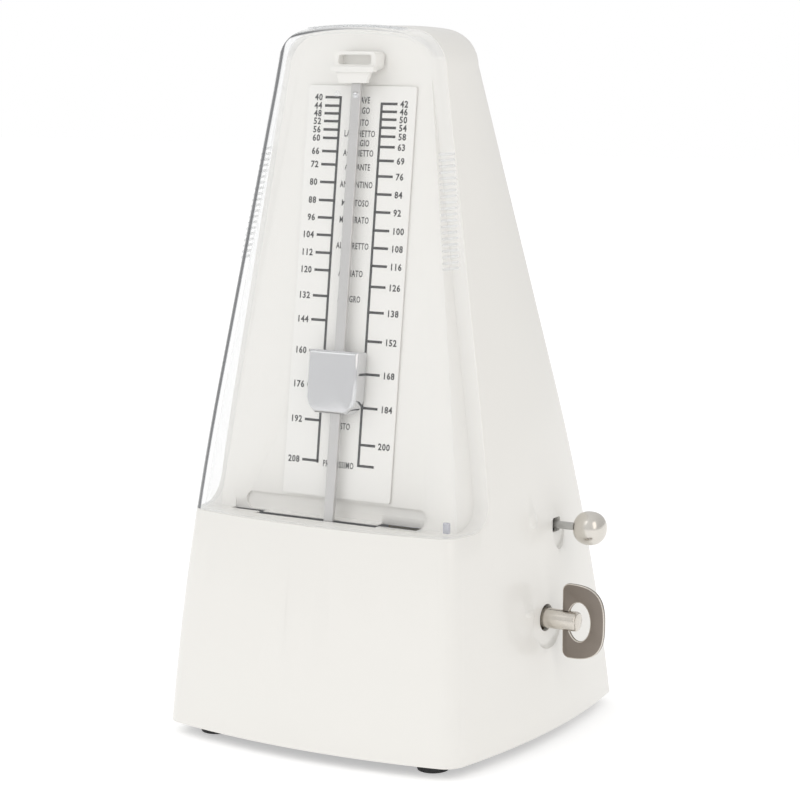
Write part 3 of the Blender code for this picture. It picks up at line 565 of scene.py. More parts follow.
def softened(piece: bpy.types.Object, width: float, segments: int = 2, angle: float = 30.0,
             smooth: float = 40.0, edge: str = "") -> bpy.types.Object:
    """Rounds the sharp edges.

    Args:
        piece: The piece.
        width: Width of the round, in millimetres.
        segments: Faces across each round.
        angle: Least angle of an edge that is rounded, in degrees.
        smooth: Edges under this angle are shaded smooth.
        edge: Finish of the rounds, if not the piece's own; a paler one paints a highlight on them.

    Returns:
        The same piece, as a plain mesh.
    """
    change = piece.modifiers.new("round", "BEVEL")
    if edge:
        piece.data.materials.append(material(edge))
        change.material = len(piece.data.materials) - 1
    change.width = width * MM
    change.segments = segments
    change.limit_method = "ANGLE"
    change.angle_limit = math.radians(angle)
    change.harden_normals = False
    evaluated(piece)
    return shaded(piece, smooth)


def shaded(piece: bpy.types.Object, smooth: float = 40.0) -> bpy.types.Object:
    """Shades smooth across edges under an angle."""
    piece.data.shade_smooth()
    piece.data.set_sharp_from_angle(angle=math.radians(smooth))
    return piece


def joined(name: str, pieces: Sequence[bpy.types.Object]) -> bpy.types.Object:
    """Joins pieces that are already in place into one mesh."""
    work = bmesh.new()
    finishes: list[bpy.types.Material] = []
    for piece in pieces:
        first = len(work.faces)
        work.from_mesh(piece.data)
        work.faces.ensure_lookup_table()
        for face in work.faces[first:]:
            own = piece.data.materials[face.material_index]
            if own not in finishes:
                finishes.append(own)
            face.material_index = finishes.index(own)
    mesh = bpy.data.meshes.new(name)
    work.to_mesh(mesh)
    work.free()
    for own in finishes:
        mesh.materials.append(own)
    for piece in pieces:
        bpy.data.objects.remove(piece)
    made = bpy.data.objects.new(name, mesh)
    bpy.context.scene.collection.objects.link(made)
    return made


def cad_copy(name: str, node: str, finish: str, merge: float = 0.02) -> bpy.types.Object:
    """A merged copy of a CAD node, free to be shaped."""
    mesh = frame["nodes"][node].data.copy()
    mesh.name = name
    mesh.materials.clear()
    mesh.materials.append(material(finish))
    made = bpy.data.objects.new(name, mesh)
    bpy.context.scene.collection.objects.link(made)
    return cleaned(made, merge, 1.0)


def settle(piece: bpy.types.Object, body: str, slot: str, *nodes: str) -> None:
    """Hands a finished piece to the frame.

    Args:
        piece: The piece.
        body: The body it moves with.
        slot: The record's material slot it stands for; not used.
        nodes: CAD nodes that it replaces.
    """
    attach(piece, body)
    if nodes:
        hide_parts(*nodes)
    log.info("%s: %d faces on %s", piece.name, len(piece.data.polygons), body)


class CopyTree:
    """A Geometry Nodes tree that puts a source piece, turned and stretched, on every point."""

    def __init__(self, name: str) -> None:
        """Builds the tree with its named inputs."""
        self.tree = bpy.data.node_groups.new(name, "GeometryNodeTree")
        face = self.tree.interface
        face.new_socket("Geometry", in_out="INPUT", socket_type="NodeSocketGeometry")
        face.new_socket("Source", in_out="INPUT", socket_type="NodeSocketObject")
        face.new_socket("Size", in_out="INPUT", socket_type="NodeSocketVector")
        face.new_socket("Finish", in_out="INPUT", socket_type="NodeSocketMaterial")
        face.new_socket("Geometry", in_out="OUTPUT", socket_type="NodeSocketGeometry")
        enter = self._node("NodeGroupInput")
        source = self._node("GeometryNodeObjectInfo", {"transform_space": "ORIGINAL"})
        aim = self._node("GeometryNodeInputNamedAttribute", {"data_type": "FLOAT_VECTOR"})
        aim.inputs["Name"].default_value = "aim"
        copy = self._node("GeometryNodeInstanceOnPoints")
        real = self._node("GeometryNodeRealizeInstances")
        dress = self._node("GeometryNodeSetMaterial")
        leave = self._node("NodeGroupOutput")
        for start, end in (
            (enter.outputs["Source"], source.inputs["Object"]),
            (enter.outputs["Geometry"], copy.inputs["Points"]),
            (source.outputs["Geometry"], copy.inputs["Instance"]),
            (aim.outputs["Attribute"], copy.inputs["Rotation"]),
            (enter.outputs["Size"], copy.inputs["Scale"]),
            (copy.outputs["Instances"], real.inputs["Geometry"]),
            (real.outputs["Geometry"], dress.inputs["Geometry"]),
            (enter.outputs["Finish"], dress.inputs["Material"]),
            (dress.outputs["Geometry"], leave.inputs["Geometry"]),
        ):
            self.tree.links.new(start, end)

    def _node(self, kind: str, settings: dict[str, Any] | None = None) -> bpy.types.Node:
        """Adds a node with its settings."""
        made = self.tree.nodes.new(kind)
        for key, value in (settings or {}).items():
            setattr(made, key, value)
        return made

    def spread(self, name: str, source: bpy.types.Object, spots: Sequence[tuple[Point, Point]],
               size: Point, finish: str) -> bpy.types.Object:
        """Copies a source piece to every spot.

        Args:
            name: The new piece's name.
            source: A piece in metres round its own origin; it is removed.
            spots: Points in millimetres, each with its turn about X, Y and Z.
            size: Stretch of every copy.
            finish: The name of its finish.

        Returns:
            All the copies as one plain mesh.
        """
        mesh = bpy.data.meshes.new(name)
        mesh.from_pydata([to_frame(spot) for spot, _ in spots], [], [])
        turns = mesh.attributes.new("aim", "FLOAT_VECTOR", "POINT")
        for item, (_, turn) in zip(turns.data, spots, strict=True):
            item.vector = turn
        made = bpy.data.objects.new(name, mesh)
        bpy.context.scene.collection.objects.link(made)
        change = made.modifiers.new("copies", "NODES")
        change.node_group = self.tree
        values = {"Source": source, "Size": tuple(size), "Finish": material(finish)}
        for item in self.tree.interface.items_tree:
            if item.in_out == "INPUT" and item.name in values:
                change[item.identifier] = values[item.name]
        evaluated(made)
        bpy.data.objects.remove(source)
        return made


# ---------------------------------------------------------------- the pyramid form

@dataclass(frozen=True)
class Pyramid:
    """The tapering form with bulging sides and an arched top that body and cover share."""

    floor_gap: float = 4.0
    top: float = 225.0
    half_x: float = 52.8
    half_y: float = 53.8
    curved_height: float = 108.5
    side_taper: tuple[float, float] = (0.1519, 0.267)
    front_taper: tuple[float, float] = (0.1335, 0.747)
    back_taper: tuple[float, float] = (0.2414, 0.714)
    side_bulge: float = 5.5
    face_bulge: float = 6.0
    corner_radius: float = 7.0
    arch_radius: float = 150.0
    rim_height: float = 214.0
    rim_side: float = 11.0
    rim_face: float = 3.0
    side_steps: int = 14
    corner_steps: int = 10
    round_steps: int = 10

    def shrink(self, z: float, taper: tuple[float, float]) -> float:
        """How much a half size has shrunk at a height."""
        rate, start = taper
        up = min(max(z - self.floor_gap, 0.0), self.curved_height)
        past = max(z - self.floor_gap - self.curved_height, 0.0)
        return rate * (start * up + (1 - start) * up**2 / (2 * self.curved_height) + past)

    def section(self, z: float, inset: float = 0.0) -> list[tuple[float, float, float, float]]:
        """The plan outline at a height.

        Args:
            z: Height above the floor.
            inset: How far inside the outer form.

        Returns:
            (x, y, outward normal x, outward normal y), from the right and going round.
        """
        half_x = self.half_x - self.shrink(z, self.side_taper) - inset
        front = self.half_y - self.shrink(z, self.front_taper) - inset
        back = self.half_y - self.shrink(z, self.back_taper) - inset
        middle, half_y = (back - front) / 2, (back + front) / 2
        fade = 1 - 0.5 * (z - self.floor_gap) / (self.top - self.floor_gap)
        corner = max(self.corner_radius - inset, 1.5)
        bulge_x, bulge_y = self.side_bulge * fade, self.face_bulge * fade
        radius_x = (half_y**2 + bulge_x**2) / (2 * bulge_x)
        radius_y = (half_x**2 + bulge_y**2) / (2 * bulge_y)
        cx, cy = half_x + bulge_x - radius_x, half_y + bulge_y - radius_y
        a, b, span = radius_x - corner, radius_y - corner, math.hypot(cx, cy)
        along = (a**2 - b**2 + span**2) / (2 * span)
        aside = math.sqrt(max(a**2 - along**2, 0.0))
        to = Vector((-cx, cy)) / span
        out = Vector((-to.y, to.x))
        foot = Vector((cx, 0)) + to * along
        spot = max((foot + out * aside, foot - out * aside), key=lambda p: p.x + p.y)
        first, last = math.atan2(spot.y, spot.x - cx), math.atan2(spot.y - cy, spot.x)
        arcs = (
            ((cx, 0.0), radius_x, 0.0, first, self.side_steps, 0),
            ((spot.x, spot.y), corner, first, last, self.corner_steps, 0),
            ((0.0, cy), radius_y, last, math.pi / 2, self.side_steps, 1),
        )
        quarter = []
        for (mx, my), radius, start, end, steps, extra in arcs:
            for k in range(steps + extra):
                turn = start + (end - start) * k / steps
                c, s = math.cos(turn), math.sin(turn)
                quarter.append((mx + radius * c, my + radius * s, c, s))
        rear = quarter + [(-x, y, -nx, ny) for x, y, nx, ny in quarter[-2::-1]]
        ring = rear + [(x, -y, nx, -ny) for x, y, nx, ny in rear[-2:0:-1]]
        return [(x, y + middle, nx, ny) for x, y, nx, ny in ring]

    def arch(self, x: float, inset: float = 0.0) -> float:
        """Height of the top surface."""
        radius = self.arch_radius
        return self.top - inset - radius + math.sqrt(radius**2 - x**2)

    def solid(self, name: str, finish: str, inset: float, bottom: float,
              layers: int = 24) -> bpy.types.Object:
        """The closed outer form, or one inside it by the inset, from a flat bottom up."""
        rim = []
        for x, _, nx, ny in self.section(self.rim_height, inset):
            radius = max(self.rim_side * nx**2 + self.rim_face * ny**2 - inset, 1.0)
            rim.append((radius, self.arch(x, inset) - radius))
        loops = []
        for layer in range(layers + 1):
            share = (layer / layers) ** 1.15
            heights = [bottom + (start - bottom) * share for _, start in rim]
            loops.append([(*self.section(z, inset)[k][:2], z) for k, z in enumerate(heights)])
        return self._closed(name, finish, inset, rim, loops)

    def _closed(self, name: str, finish: str, inset: float, rim: list[tuple[float, float]],
                loops: list[list[Point]]) -> bpy.types.Object:
        """Rounds the rim over to the arched top and makes the mesh."""
        edge = loops[-1]
        low, high = min(p[1] for p in edge), max(p[1] for p in edge)
        middle = (low + high) / 2
        shrink_x = max(self.rim_side - inset, 1.0) / max(p[0] for p in edge)
        shrink_y = max(self.rim_face - inset, 1.0) * 2 / (high - low)
        inner: list[Point] = []
        for step in range(1, self.round_steps + 1):
            a = math.pi / 2 * step / self.round_steps
            near = 1 - math.cos(a)
            inner = []
            for (radius, _), (x, y, _) in zip(rim, edge, strict=True):
                x *= 1 - shrink_x * near
                y = middle + (y - middle) * (1 - shrink_y * near)
                inner.append((x, y, self.arch(x, inset) - radius * (1 - math.sin(a))))
            loops.append(inner)
        for share in (0.75, 0.5, 0.25):
            loops.append([(x * share, middle + (y - middle) * share, self.arch(x * share, inset))
                          for x, y, _ in inner])
        return solid(name, *rings(loops, tip=(0, middle, self.arch(0, inset))), finish)


@dataclass(frozen=True)
class Recess:
    """The lines of the recess that the pendulum stands in."""

    ledge: float = 72.6
    lean: float = 0.128
    panel_y: float = -45.4
    step_y: float = -32.47
    step_lean: float = 0.0667
    step_round: float = 9.0
    core_inset: float = 5.0
    reach: float = 245.0

    def on_face(self, u: float, v: float, along: float) -> Vector:
        """Outline in X and Z on a plane that leans with the panel, pushed along Y."""
        return Vector((u, along + self.lean * v, v))

    def front_tool(self, offset: float, finish: str, steps: int = 14) -> bpy.types.Object:
        """Everything in front of the step and above the ledge."""
        ledge = self.ledge - offset
        at_ledge = self.step_y + self.step_lean * ledge + offset
        profile = [(self.step_y + self.step_lean * self.reach + offset, self.reach)]
        radius = self.step_round + offset
        for k in range(steps + 1):
            a = math.pi / 2 * k / steps
            y = at_ledge + self.step_lean * radius - radius + radius * math.cos(a)
            profile.append((y, ledge + radius - radius * math.sin(a)))
        profile += [(-90.0, ledge), (-90.0, self.reach)]
        return extruded("front_tool", finish, profile, on_x, -90, 90)

    def panel_tool(self, offset: float, finish: str) -> bpy.types.Object:
        """Everything in front of the leaning panel."""
        low = 20.0
        outline = [(self.panel_y + offset + self.lean * low, low),
                   (self.panel_y + offset + self.lean * self.reach, self.reach),
                   (-120.0, self.reach), (-120.0, low)]
        return extruded("panel_tool", finish, outline, on_x, -90, 90)


PYRAMID = Pyramid()
RECESS = Recess()


# ---------------------------------------------------------------- sub-assemblies

@dataclass
class Housing:
    """The ivory shell: walls, ledge, leaning panel, pocket, slots and the dishes on the right."""

    wall: float = 2.4
    finish: str = "ivory_shell"
    key_yz: tuple[float, float] = (1.0, 40.0)
    rod_yz: tuple[float, float] = (14.0, 67.37)
    bump_yz: tuple[float, float] = (-3.0, 72.0)
    oval_yz: tuple[float, float] = (-10.0, 43.5)
    recess_half: float = 20.3
    recess_low: float = 78.6
    recess_top: float = 207.4
    recess_depth: float = 0.25
    pocket: tuple[float, float, float] = (-34.0, 33.0, 78.2)
    pocket_depth: float = 1.1
    slot_y: float = -49.2
    slots: tuple[tuple[float, float, float, float], ...] = (
        (-27.0, -1.9, 18.0, 1.9), (16.5, 0.4, 31.3, 5.2), (-38.0, 1.2, -26.0, 4.2))
    skin: float = 0.3
    post_x: tuple[float, float] = (43.5, 68.0)
    post_y: tuple[float, float] = (24.0, 5.0)
    post_z: tuple[float, float] = (8.1, 24.0)
    edge_round: float = 0.45

    def form(self, name: str, inset: float, bottom: float, layers: int) -> bpy.types.Object:
        """The body with its step and its raised leaning panel, solid."""
        outer = PYRAMID.solid(name, self.finish, inset, bottom, layers)
        combine(outer, RECESS.front_tool(inset, self.finish))
        core = PYRAMID.solid("core", self.finish, inset + RECESS.core_inset, RECESS.ledge - 22, 12)
        combine(core, RECESS.panel_tool(inset, self.finish))
        low = block("below", self.finish, (-90, -90, 0), (90, 90, RECESS.ledge - inset - 5))
        combine(core, low)
        return combine(outer, core, "UNION")

    def openings(self, shell: bpy.types.Object) -> None:
        """Cuts the undercut slots in the ledge, the pocket behind the rod and the dial's seat."""
        ledge, face, place = RECESS.ledge, RECESS.panel_y, RECESS.on_face
        slot_y = self.slot_y + RECESS.lean * ledge
        for x0, y0, x1, y1 in self.slots:
            low = (x0, slot_y + y0, ledge - 6)
            combine(shell, block("slot", self.finish, low, (x1, slot_y + y1, ledge + 4)))
            under = (x1, slot_y + y1 + 5.0, ledge - self.skin)
            combine(shell, block("undercut", self.finish, low, under))
        left, right, high = self.pocket
        outline = rounded((left, ledge + 0.1), (right, high), 2.6)
        depth = face + self.pocket_depth
        combine(shell, extruded("pocket", self.finish, outline, place, face - 3, depth))
        half = self.recess_half
        outline = rounded((-half, self.recess_low), (half, self.recess_top), 1.2)
        depth = face - self.recess_depth
        combine(shell, extruded("let_in", self.finish, outline, place, face - 3, depth))

    def side_holes(self, shell: bpy.types.Object) -> None:
        """Cuts the key's hole in its round dish and the rod's square hole in its oval dish."""
        key = (0, *self.key_yz)
        combine(shell, turned("key_hole", self.finish, key, (1, 0, 0), [(4.35, 45), (4.35, 70)]))
        dish = [(8.2, 55.25), (8.9, 55.35), (9.4, 55.7), (9.7, 56.3), (10.3, 58.5), (13, 66)]
        combine(shell, turned("key_dish", self.finish, key, (1, 0, 0), dish, 64))
        rod = (0, *self.rod_yz)
        hole = [(rod[1] + u, rod[2] + v) for u, v in rounded((-2.5, -2.3), (2.5, 2.3), 0.8)]
        combine(shell, extruded("rod_hole", self.finish, hole, on_x, 40, 70))
        dish = [(6.6, 51.7), (7.2, 51.85), (7.6, 52.3), (7.85, 53.0), (8.3, 55.5), (10.5, 62)]
        combine(shell, turned("rod_dish", self.finish, rod, (1, 0, 0), dish, 64, (0.59, 1.0)))

    def side_marks(self) -> list[bpy.types.Object]:
        """The small round bump and the low oval moulded on the right side."""
        made = []
        for (y, z), radius, squash in (
            (self.bump_yz, 2.9, (1.0, 1.0)), (self.oval_yz, 2.6, (1.0, 0.45)),
        ):
            wall = max((p for p in PYRAMID.section(z) if p[0] > 0), key=lambda p: -abs(p[1] - y))
            profile = [(radius, -1.2), (radius, 0.0), (radius * 0.93, 0.18), (radius * 0.78, 0.3),
                       (radius * 0.4, 0.42), (0.02, 0.46)]
            axis = Vector((1.0, wall[3], 0.16))
            centre = (wall[0] - 0.12, y, z)
            made.append(turned("side_mark", self.finish, centre, axis, profile, 48, squash))
        return made

    def build(self) -> None:
        """Makes the shell and hands it over."""
        shell = self.form("shell", 0.0, PYRAMID.floor_gap, 26)
        cavity = self.form("cavity", self.wall, PYRAMID.floor_gap - 2, 12)
        for sx in (-1, 1):
            near, far = sorted(sx * x for x in self.post_x)
            for sy in (-1, 1):
                middle, half = sy * self.post_y[0], self.post_y[1]
                low = (near, middle - half, self.post_z[0])
                high = (far, middle + half, self.post_z[1])
                combine(cavity, block("post", self.finish, low, high))
        combine(shell, cavity)
        self.openings(shell)
        self.side_holes(shell)
        for mark in self.side_marks():
            combine(shell, mark, "UNION")
        cleaned(shell, 0.02, 0.4)
        shell.name = "housing_shell"
        softened(shell, self.edge_round, 2, 32.0, 36.0)
        settle(shell, "root", "ivory_plastic", "housing")


@dataclass
class Cover:
    """The clear tray over the recess, its finger ribs, the tab at its corner and a gate mark."""

    wall: float = 2.0
    rib_pitch: float = 1.8
    rib_count: int = 20
    rib_top: float = 186.6
    rib_length: float = 7.6
    rib_width: float = 0.95
    rib_height: float = 0.28
    rib_y: float = -24.0
    rib_slope: float = 0.165
    top_ribs: int = 19
    top_rib_y: float = -22.4
    tab: tuple[Point, Point] = ((41.9, -41.6, 73.2), (44.1, -40.4, 76.6))
    gate: Point = (-2.6, -30.05, 204.4)

    def shell(self) -> bpy.types.Object:
        """The tray itself."""
        bottom = RECESS.ledge - 8
        tray = PYRAMID.solid("cover_shell", "clear_outside", 0.0, bottom, 16)
        # The hollow gives the tray's inner faces the darker grey inside finish, which is painted
        # shade on walls seen edge on.
        combine(tray, PYRAMID.solid("hollow", "clear_inside", self.wall, bottom - 4, 16))
        combine(tray, RECESS.front_tool(-GAP, "clear_edge"), "INTERSECT")
        cleaned(tray, 0.02, 0.0)
        return shaded(tray, 30.0)

    def wall_at(self, z: float, y: float) -> tuple[float, float]:
        """The side wall's X, and its turn about Z, at a height and depth."""
        ring = [p for p in PYRAMID.section(z) if p[0] > 0]
        before = max((p for p in ring if p[1] <= y), key=lambda p: p[1])
        after = min((p for p in ring if p[1] > y), key=lambda p: p[1])
        share = (y - before[1]) / (after[1] - before[1])
        x = before[0] + (after[0] - before[0]) * share
        return x, math.atan2(before[3] + after[3], before[2] + after[2])

    def rib(self) -> bpy.types.Object:
        """One low rounded bar along Y, with rounded ends, round the world's origin."""
        loops = []
        half = self.rib_length / 2
        for y, size in ((-half, 0.15), (-half + 0.3, 0.75), (-half + 0.9, 1.0), (half - 0.9, 1.0),
                        (half - 0.3, 0.75), (half, 0.15)):
            loop = []
            for k in range(6):
                a = 2 * math.pi * k / 6
                x = self.rib_height * math.cos(a) * size
                loop.append((x - FRAME_X, y, self.rib_width / 2 * math.sin(a) * size))
            loops.append(loop)
        return shaded(solid("rib", *rings(loops), "clear_rib"), 60)

    def ribs(self, copies: CopyTree) -> bpy.types.Object:
        """Two rows of ribs down the side walls and one row across the top."""
        spots: list[tuple[Point, Point]] = []
        for k in range(self.rib_count):
            z = self.rib_top - self.rib_pitch * k
            y = self.rib_y - self.rib_slope * (self.rib_top - z)
            x, turn = self.wall_at(z, y)
            spots.append(((x, y, z), (0.0, 0.0, turn)))
            spots.append(((-x, y, z), (0.0, 0.0, math.pi - turn)))
        sides = copies.spread("cover_side_ribs", self.rib(), spots, (1, 1, 1), "clear_rib")
        spots = []
        for k in range(self.top_ribs):
            x = self.rib_pitch * (k - (self.top_ribs - 1) / 2)
            tilt = math.asin(x / PYRAMID.arch_radius)
            top = (x, self.top_rib_y, PYRAMID.arch(x))
            spots.append((top, (0.0, tilt - math.pi / 2, 0.0)))
        across = copies.spread("top_ribs", self.rib(), spots, (1.5, 0.8, 1), "clear_rib")
        return joined("cover_ribs", [sides, across])

    def build(self, copies: CopyTree) -> None:
        """Makes the cover and hands it over."""
        settle(self.shell(), "cover", "clear_plastic", "front_cover")
        settle(shaded(self.ribs(copies), 60), "cover", "clear_plastic")
        tab = block("cover_tab", "clear_tab", *self.tab)
        settle(softened(tab, 0.3), "cover", "clear_plastic")
        gate = turned("cover_gate_mark", "clear_rib", self.gate, (0, -1, 0.13),
                      [(0.9, -0.3), (0.9, 0.1), (0.55, 0.3), (0.1, 0.32)], 24)
        settle(shaded(gate), "cover", "clear_plastic")


class Side(Enum):
    """The two columns of numbers on the dial."""

    LEFT = -1
    RIGHT = 1


@dataclass
class Dial:
    """The printed plate: two ruled bars with ticks, beats per minute and the tempo names."""

    half_width: float = 19.8
    low: float = 78.95
    high: float = 206.6
    bar_x: float = 7.15
    bar_width: float = 0.85
    tick: float = 6.1
    tick_width: float = 0.8
    bar_low: float = 89.4
    last_tick: float = 89.8
    thick: float = 0.5
    cap_height: float = 1.95
    cap_share: float = 0.69
    spacing: float = 1.12
    weight: float = 0.075
    word_weight: float = 0.035
    number_x: float = 14.3
    number_width: float = 0.93
    word_x: float = 0.2
    word_width: float = 0.64
    beats: dict[Side, dict[int, float]] = field(default_factory=lambda: {
        Side.LEFT: {
            40: 202.9, 44: 200.3, 48: 197.9, 52: 195.5, 56: 192.9, 60: 190.3, 66: 186.2,
            72: 182.1, 80: 176.6, 88: 171.0, 96: 165.6, 104: 160.2, 112: 154.7, 120: 149.3,
            132: 141.3, 144: 133.8, 160: 124.1, 176: 113.5, 192: 102.6, 208: 90.0},
        Side.RIGHT: {
            42: 201.2, 46: 198.8, 50: 196.4, 54: 193.9, 58: 191.2, 63: 188.0, 69: 183.8,
            76: 179.0, 84: 173.5, 92: 168.0, 100: 162.4, 108: 157.0, 116: 151.5, 126: 145.1,
            138: 137.2, 152: 128.3, 168: 118.1, 184: 107.7, 200: 96.3},
    })
    tempos: dict[str, float] = field(default_factory=lambda: {
        "GRAVE": 202.2, "LARGO": 199.0, "LENTO": 195.3, "LARGHETTO": 191.9, "ADAGIO": 189.0,
        "ADAGIETTO": 185.9, "ANDANTE": 181.6, "ANDANTINO": 176.2, "MAESTOSO": 170.5,
        "MODERATO": 165.3, "ALLEGRETTO": 157.3, "ANIMATO": 148.8, "ALLEGRO": 140.9,
        "VIVACE": 118.0, "PRESTO": 101.5, "PRESTISSIMO": 89.5})

    @property
    def face(self) -> float:
        """Y of the plate's face where Z is 0."""
        return RECESS.panel_y - GAP - self.thick

    def ink(self, low: Point, high: Point) -> bpy.types.Object:
        """One printed bar between two corners in X and Z."""
        outline = [(low[0], low[1]), (high[0], low[1]), (high[0], high[1]), (low[0], high[1])]
        return extruded("bar", "print_ink", outline, RECESS.on_face, self.face - 0.05,
                        self.face - 0.01)

    def letters(self, text: str, x: float, z: float, align: str, width: float) -> bpy.types.Object:
        """A line of print.

        Args:
            text: The number or word.
            x: Where it starts, ends or is centred.
            z: Height of its middle.
            align: LEFT, RIGHT or CENTER.
            width: Width of the letters against their height.

        Returns:
            The print as a mesh.
        """
        curve = bpy.data.curves.new("print", "FONT")
        curve.body = text
        curve.align_x = align
        curve.size = self.cap_height / self.cap_share
        curve.space_character = self.spacing
        curve.extrude = 0.02
        curve.offset = self.weight if align != "CENTER" else self.word_weight
        curve.resolution_u = 2
        text_object = bpy.data.objects.new("print", curve)
        bpy.context.scene.collection.objects.link(text_object)
        bpy.context.view_layer.update()
        seen = text_object.evaluated_get(bpy.context.evaluated_depsgraph_get())
        mesh = bpy.data.meshes.new_from_object(seen)
        bpy.data.objects.remove(text_object)
        bpy.data.curves.remove(curve)
        for point in mesh.vertices:
            u, v, up = point.co
            spot = RECESS.on_face(x + u * width, z + v - self.cap_height / 2,
                                  self.face - 0.03 - up)
            point.co = to_frame(spot)
        mesh.materials.clear()
        mesh.materials.append(material("print_ink"))
        made = bpy.data.objects.new("print", mesh)
        bpy.context.scene.collection.objects.link(made)
        return made

    def print(self) -> bpy.types.Object:
        """All the print as one piece."""
        made = []
        for side, marks in self.beats.items():
            sign = side.value
            bar = sorted((sign * self.bar_x, sign * (self.bar_x + self.bar_width)))
            half = self.tick_width / 2
            made.append(self.ink((bar[0], self.bar_low), (bar[1], max(marks.values()) + half)))
            heights = dict.fromkeys(marks.values())
            if side is Side.RIGHT:
                heights[self.last_tick] = None
            for z in heights:
                ends = sorted((sign * self.bar_x, sign * (self.bar_x + self.tick)))
                made.append(self.ink((ends[0], z - half), (ends[1], z + half)))
            align = "RIGHT" if side is Side.LEFT else "LEFT"
            for beats, z in marks.items():
                x = sign * self.number_x
                made.append(self.letters(str(beats), x, z, align, self.number_width))
        for word, z in self.tempos.items():
            made.append(self.letters(word, self.word_x, z, "CENTER", self.word_width))
        return joined("dial_print", made)

    def build(self) -> None:
        """Makes the plate and its print and hands them over."""
        outline = rounded((-self.half_width, self.low), (self.half_width, self.high), 1.0)
        plate = extruded("dial_plate", "dial_white", outline, RECESS.on_face, self.face,
                         RECESS.panel_y - GAP)
        settle(softened(plate, 0.12), "root", "ivory_plastic", "scale_plate")
        settle(self.print(), "root", "dark_plastic")


@dataclass
class Catch:
    """The hook that holds the rod's tip."""

    finish: str = "ivory_shell"

    def build(self) -> None:
        """Rounds a copy of the CAD hook and hands it over."""
        hook = cad_copy("catch_hook", "rod_catch", self.finish)
        settle(softened(hook, 0.3, 3), "root", "ivory_plastic", "rod_catch")


@dataclass
class Pendulum:
    """The notched rod, its dimple and the chrome weight that slides on it."""

    mid_y: float = -49.2
    pivot_z: float = 46.0
    top_z: float = 210.6
    width: float = 3.5
    thick: float = 1.2
    tail: float = -34.0
    notch: float = 0.32
    notch_half: float = 0.35
    highest_notch: float = 198.0
    dimple_z: float = 203.8

    def place(self, u: float, v: float, along: float) -> Vector:
        """Outline across and up the rod from the pivot, pushed along the swing axis."""
        angle = math.atan(RECESS.lean)
        pivot = Vector((0, self.mid_y + RECESS.lean * self.pivot_z, self.pivot_z))
        swing = Vector((0, math.cos(angle), -math.sin(angle)))
        up = Vector((0, math.sin(angle), math.cos(angle)))
        return pivot + Vector((u, 0, 0)) + up * v + swing * along

    def up_at(self, z: float) -> float:
        """Distance up the rod at a height."""
        return (z - self.pivot_z) / math.cos(math.atan(RECESS.lean))

    def rod(self, stops: Iterable[float]) -> bpy.types.Object:
        """The flat rod with a small notch on its left edge for every tempo."""
        half, top = self.width / 2, self.up_at(self.top_z)
        outline = [(-half, self.tail), (half, self.tail), (half, top - 1)]
        outline += [(half - 1, top), (1 - half, top), (-half, top - 1)]
        for z in sorted(stops, reverse=True):
            v, reach = self.up_at(z), self.notch_half
            outline += [(-half, v + reach), (self.notch - half, v), (-half, v - reach)]
        near = self.thick / 2
        rod = extruded("rod_strip", "rod_steel", outline, self.place, -near, near)
        return softened(rod, 0.1, 1, 50)

    def build(self, dial: Dial) -> None:
        """Makes the rod, its dimple and the weight and hands them over."""
        stops = [z for z in dial.beats[Side.LEFT].values() if z < self.highest_notch]
        settle(self.rod(stops), "pendulum", "satin_steel", "pendulum_rod")
        centre = self.place(0, self.up_at(self.dimple_z), -self.thick / 2)
        axis = self.place(0, 0, -1) - self.place(0, 0, 0)
        dimple = turned("rod_dimple", "mirror_chrome", centre, axis,
                        [(1.1, -0.2), (1.1, 0.0), (0.9, 0.22), (0.5, 0.4), (0.02, 0.46)], 32)
        settle(shaded(dimple), "pendulum", "satin_steel")
        weight = cad_copy("weight_shield", "tempo_weight", "mirror_chrome")
        settle(softened(weight, 0.5, 4, 20), "weight", "chrome", "tempo_weight")


@dataclass
class Key:
    """The winding key: a slotted shaft and a flat grip with an oval eye."""

    middle: tuple[float, float] = (1.0, 40.0)
    low_x: float = 61.2
    high_x: float = 75.8
    tall: float = 12.0
    thick: float = 1.2
    heel: float = 2.4
    fullness: float = 2.9
    eye: tuple[float, float] = (3.9, 6.2)
    eye_x: float = 67.0
    slot_x: tuple[float, float] = (60.9, 63.3)
    slot_half: float = 0.9

    def outline(self) -> list[tuple[float, float]]:
        """The grip's outer edge in X and Z."""
        upper = []
        steps = 40
        for k in range(steps + 1):
            a = math.pi / 2 * (1 - k / steps)
            x = (self.high_x - self.low_x - self.heel) * math.cos(a) ** (2 / self.fullness)
            z = self.tall * math.sin(a) ** (2 / self.fullness)
            upper.append((self.low_x + self.heel + x, z))
        corner = []
        for k in range(6):
            b = math.pi / 2 * (1 - k / 6)
            x = self.low_x + self.heel * (1 - math.sin(b))
            corner.append((x, self.tall - self.heel * (1 - math.cos(b))))
        half = corner + upper
        ring = half + [(x, -z) for x, z in half[-2::-1]]
        return [(x, z + self.middle[1]) for x, z in ring]

    def build(self) -> None:
        """Makes the grip and the shaft and hands them over."""
        y, z = self.middle
        half = self.thick / 2
        grip = extruded("key_plate", "nickel_grip", self.outline(), on_y, y - half, y + half)
        eye = turned("eye", "nickel_shaft", (self.eye_x, y, z), (0, 1, 0), [(1.0, -5), (1.0, 5)],
                     64, self.eye)
        combine(grip, eye)
        # The grip's rounds take the paler shaft finish: a painted highlight along its outer edge
        # and round its eye.
        grip = softened(cleaned(grip, 0.01, 0.0), 0.3, 3, 50, edge="nickel_shaft")
        settle(grip, "winding", "nickel", "key_grip")
        shaft = turned("key_stem", "nickel_shaft", (0, y, z), (1, 0, 0),
                       [(2.7, 51.2), (3.15, 51.6), (3.15, 66.0), (2.95, 66.4), (2.5, 66.6)], 64)
        low = (self.slot_x[0], y - self.slot_half, z - 10)
        high = (self.slot_x[1], y + self.slot_half, z + 10)
        combine(shaft, block("slot", "nickel_shaft", low, high))
        shaft = softened(cleaned(shaft, 0.01, 0.0), 0.14, 2, 50)
        settle(shaft, "winding", "nickel", "key_shaft", "key_rivet")


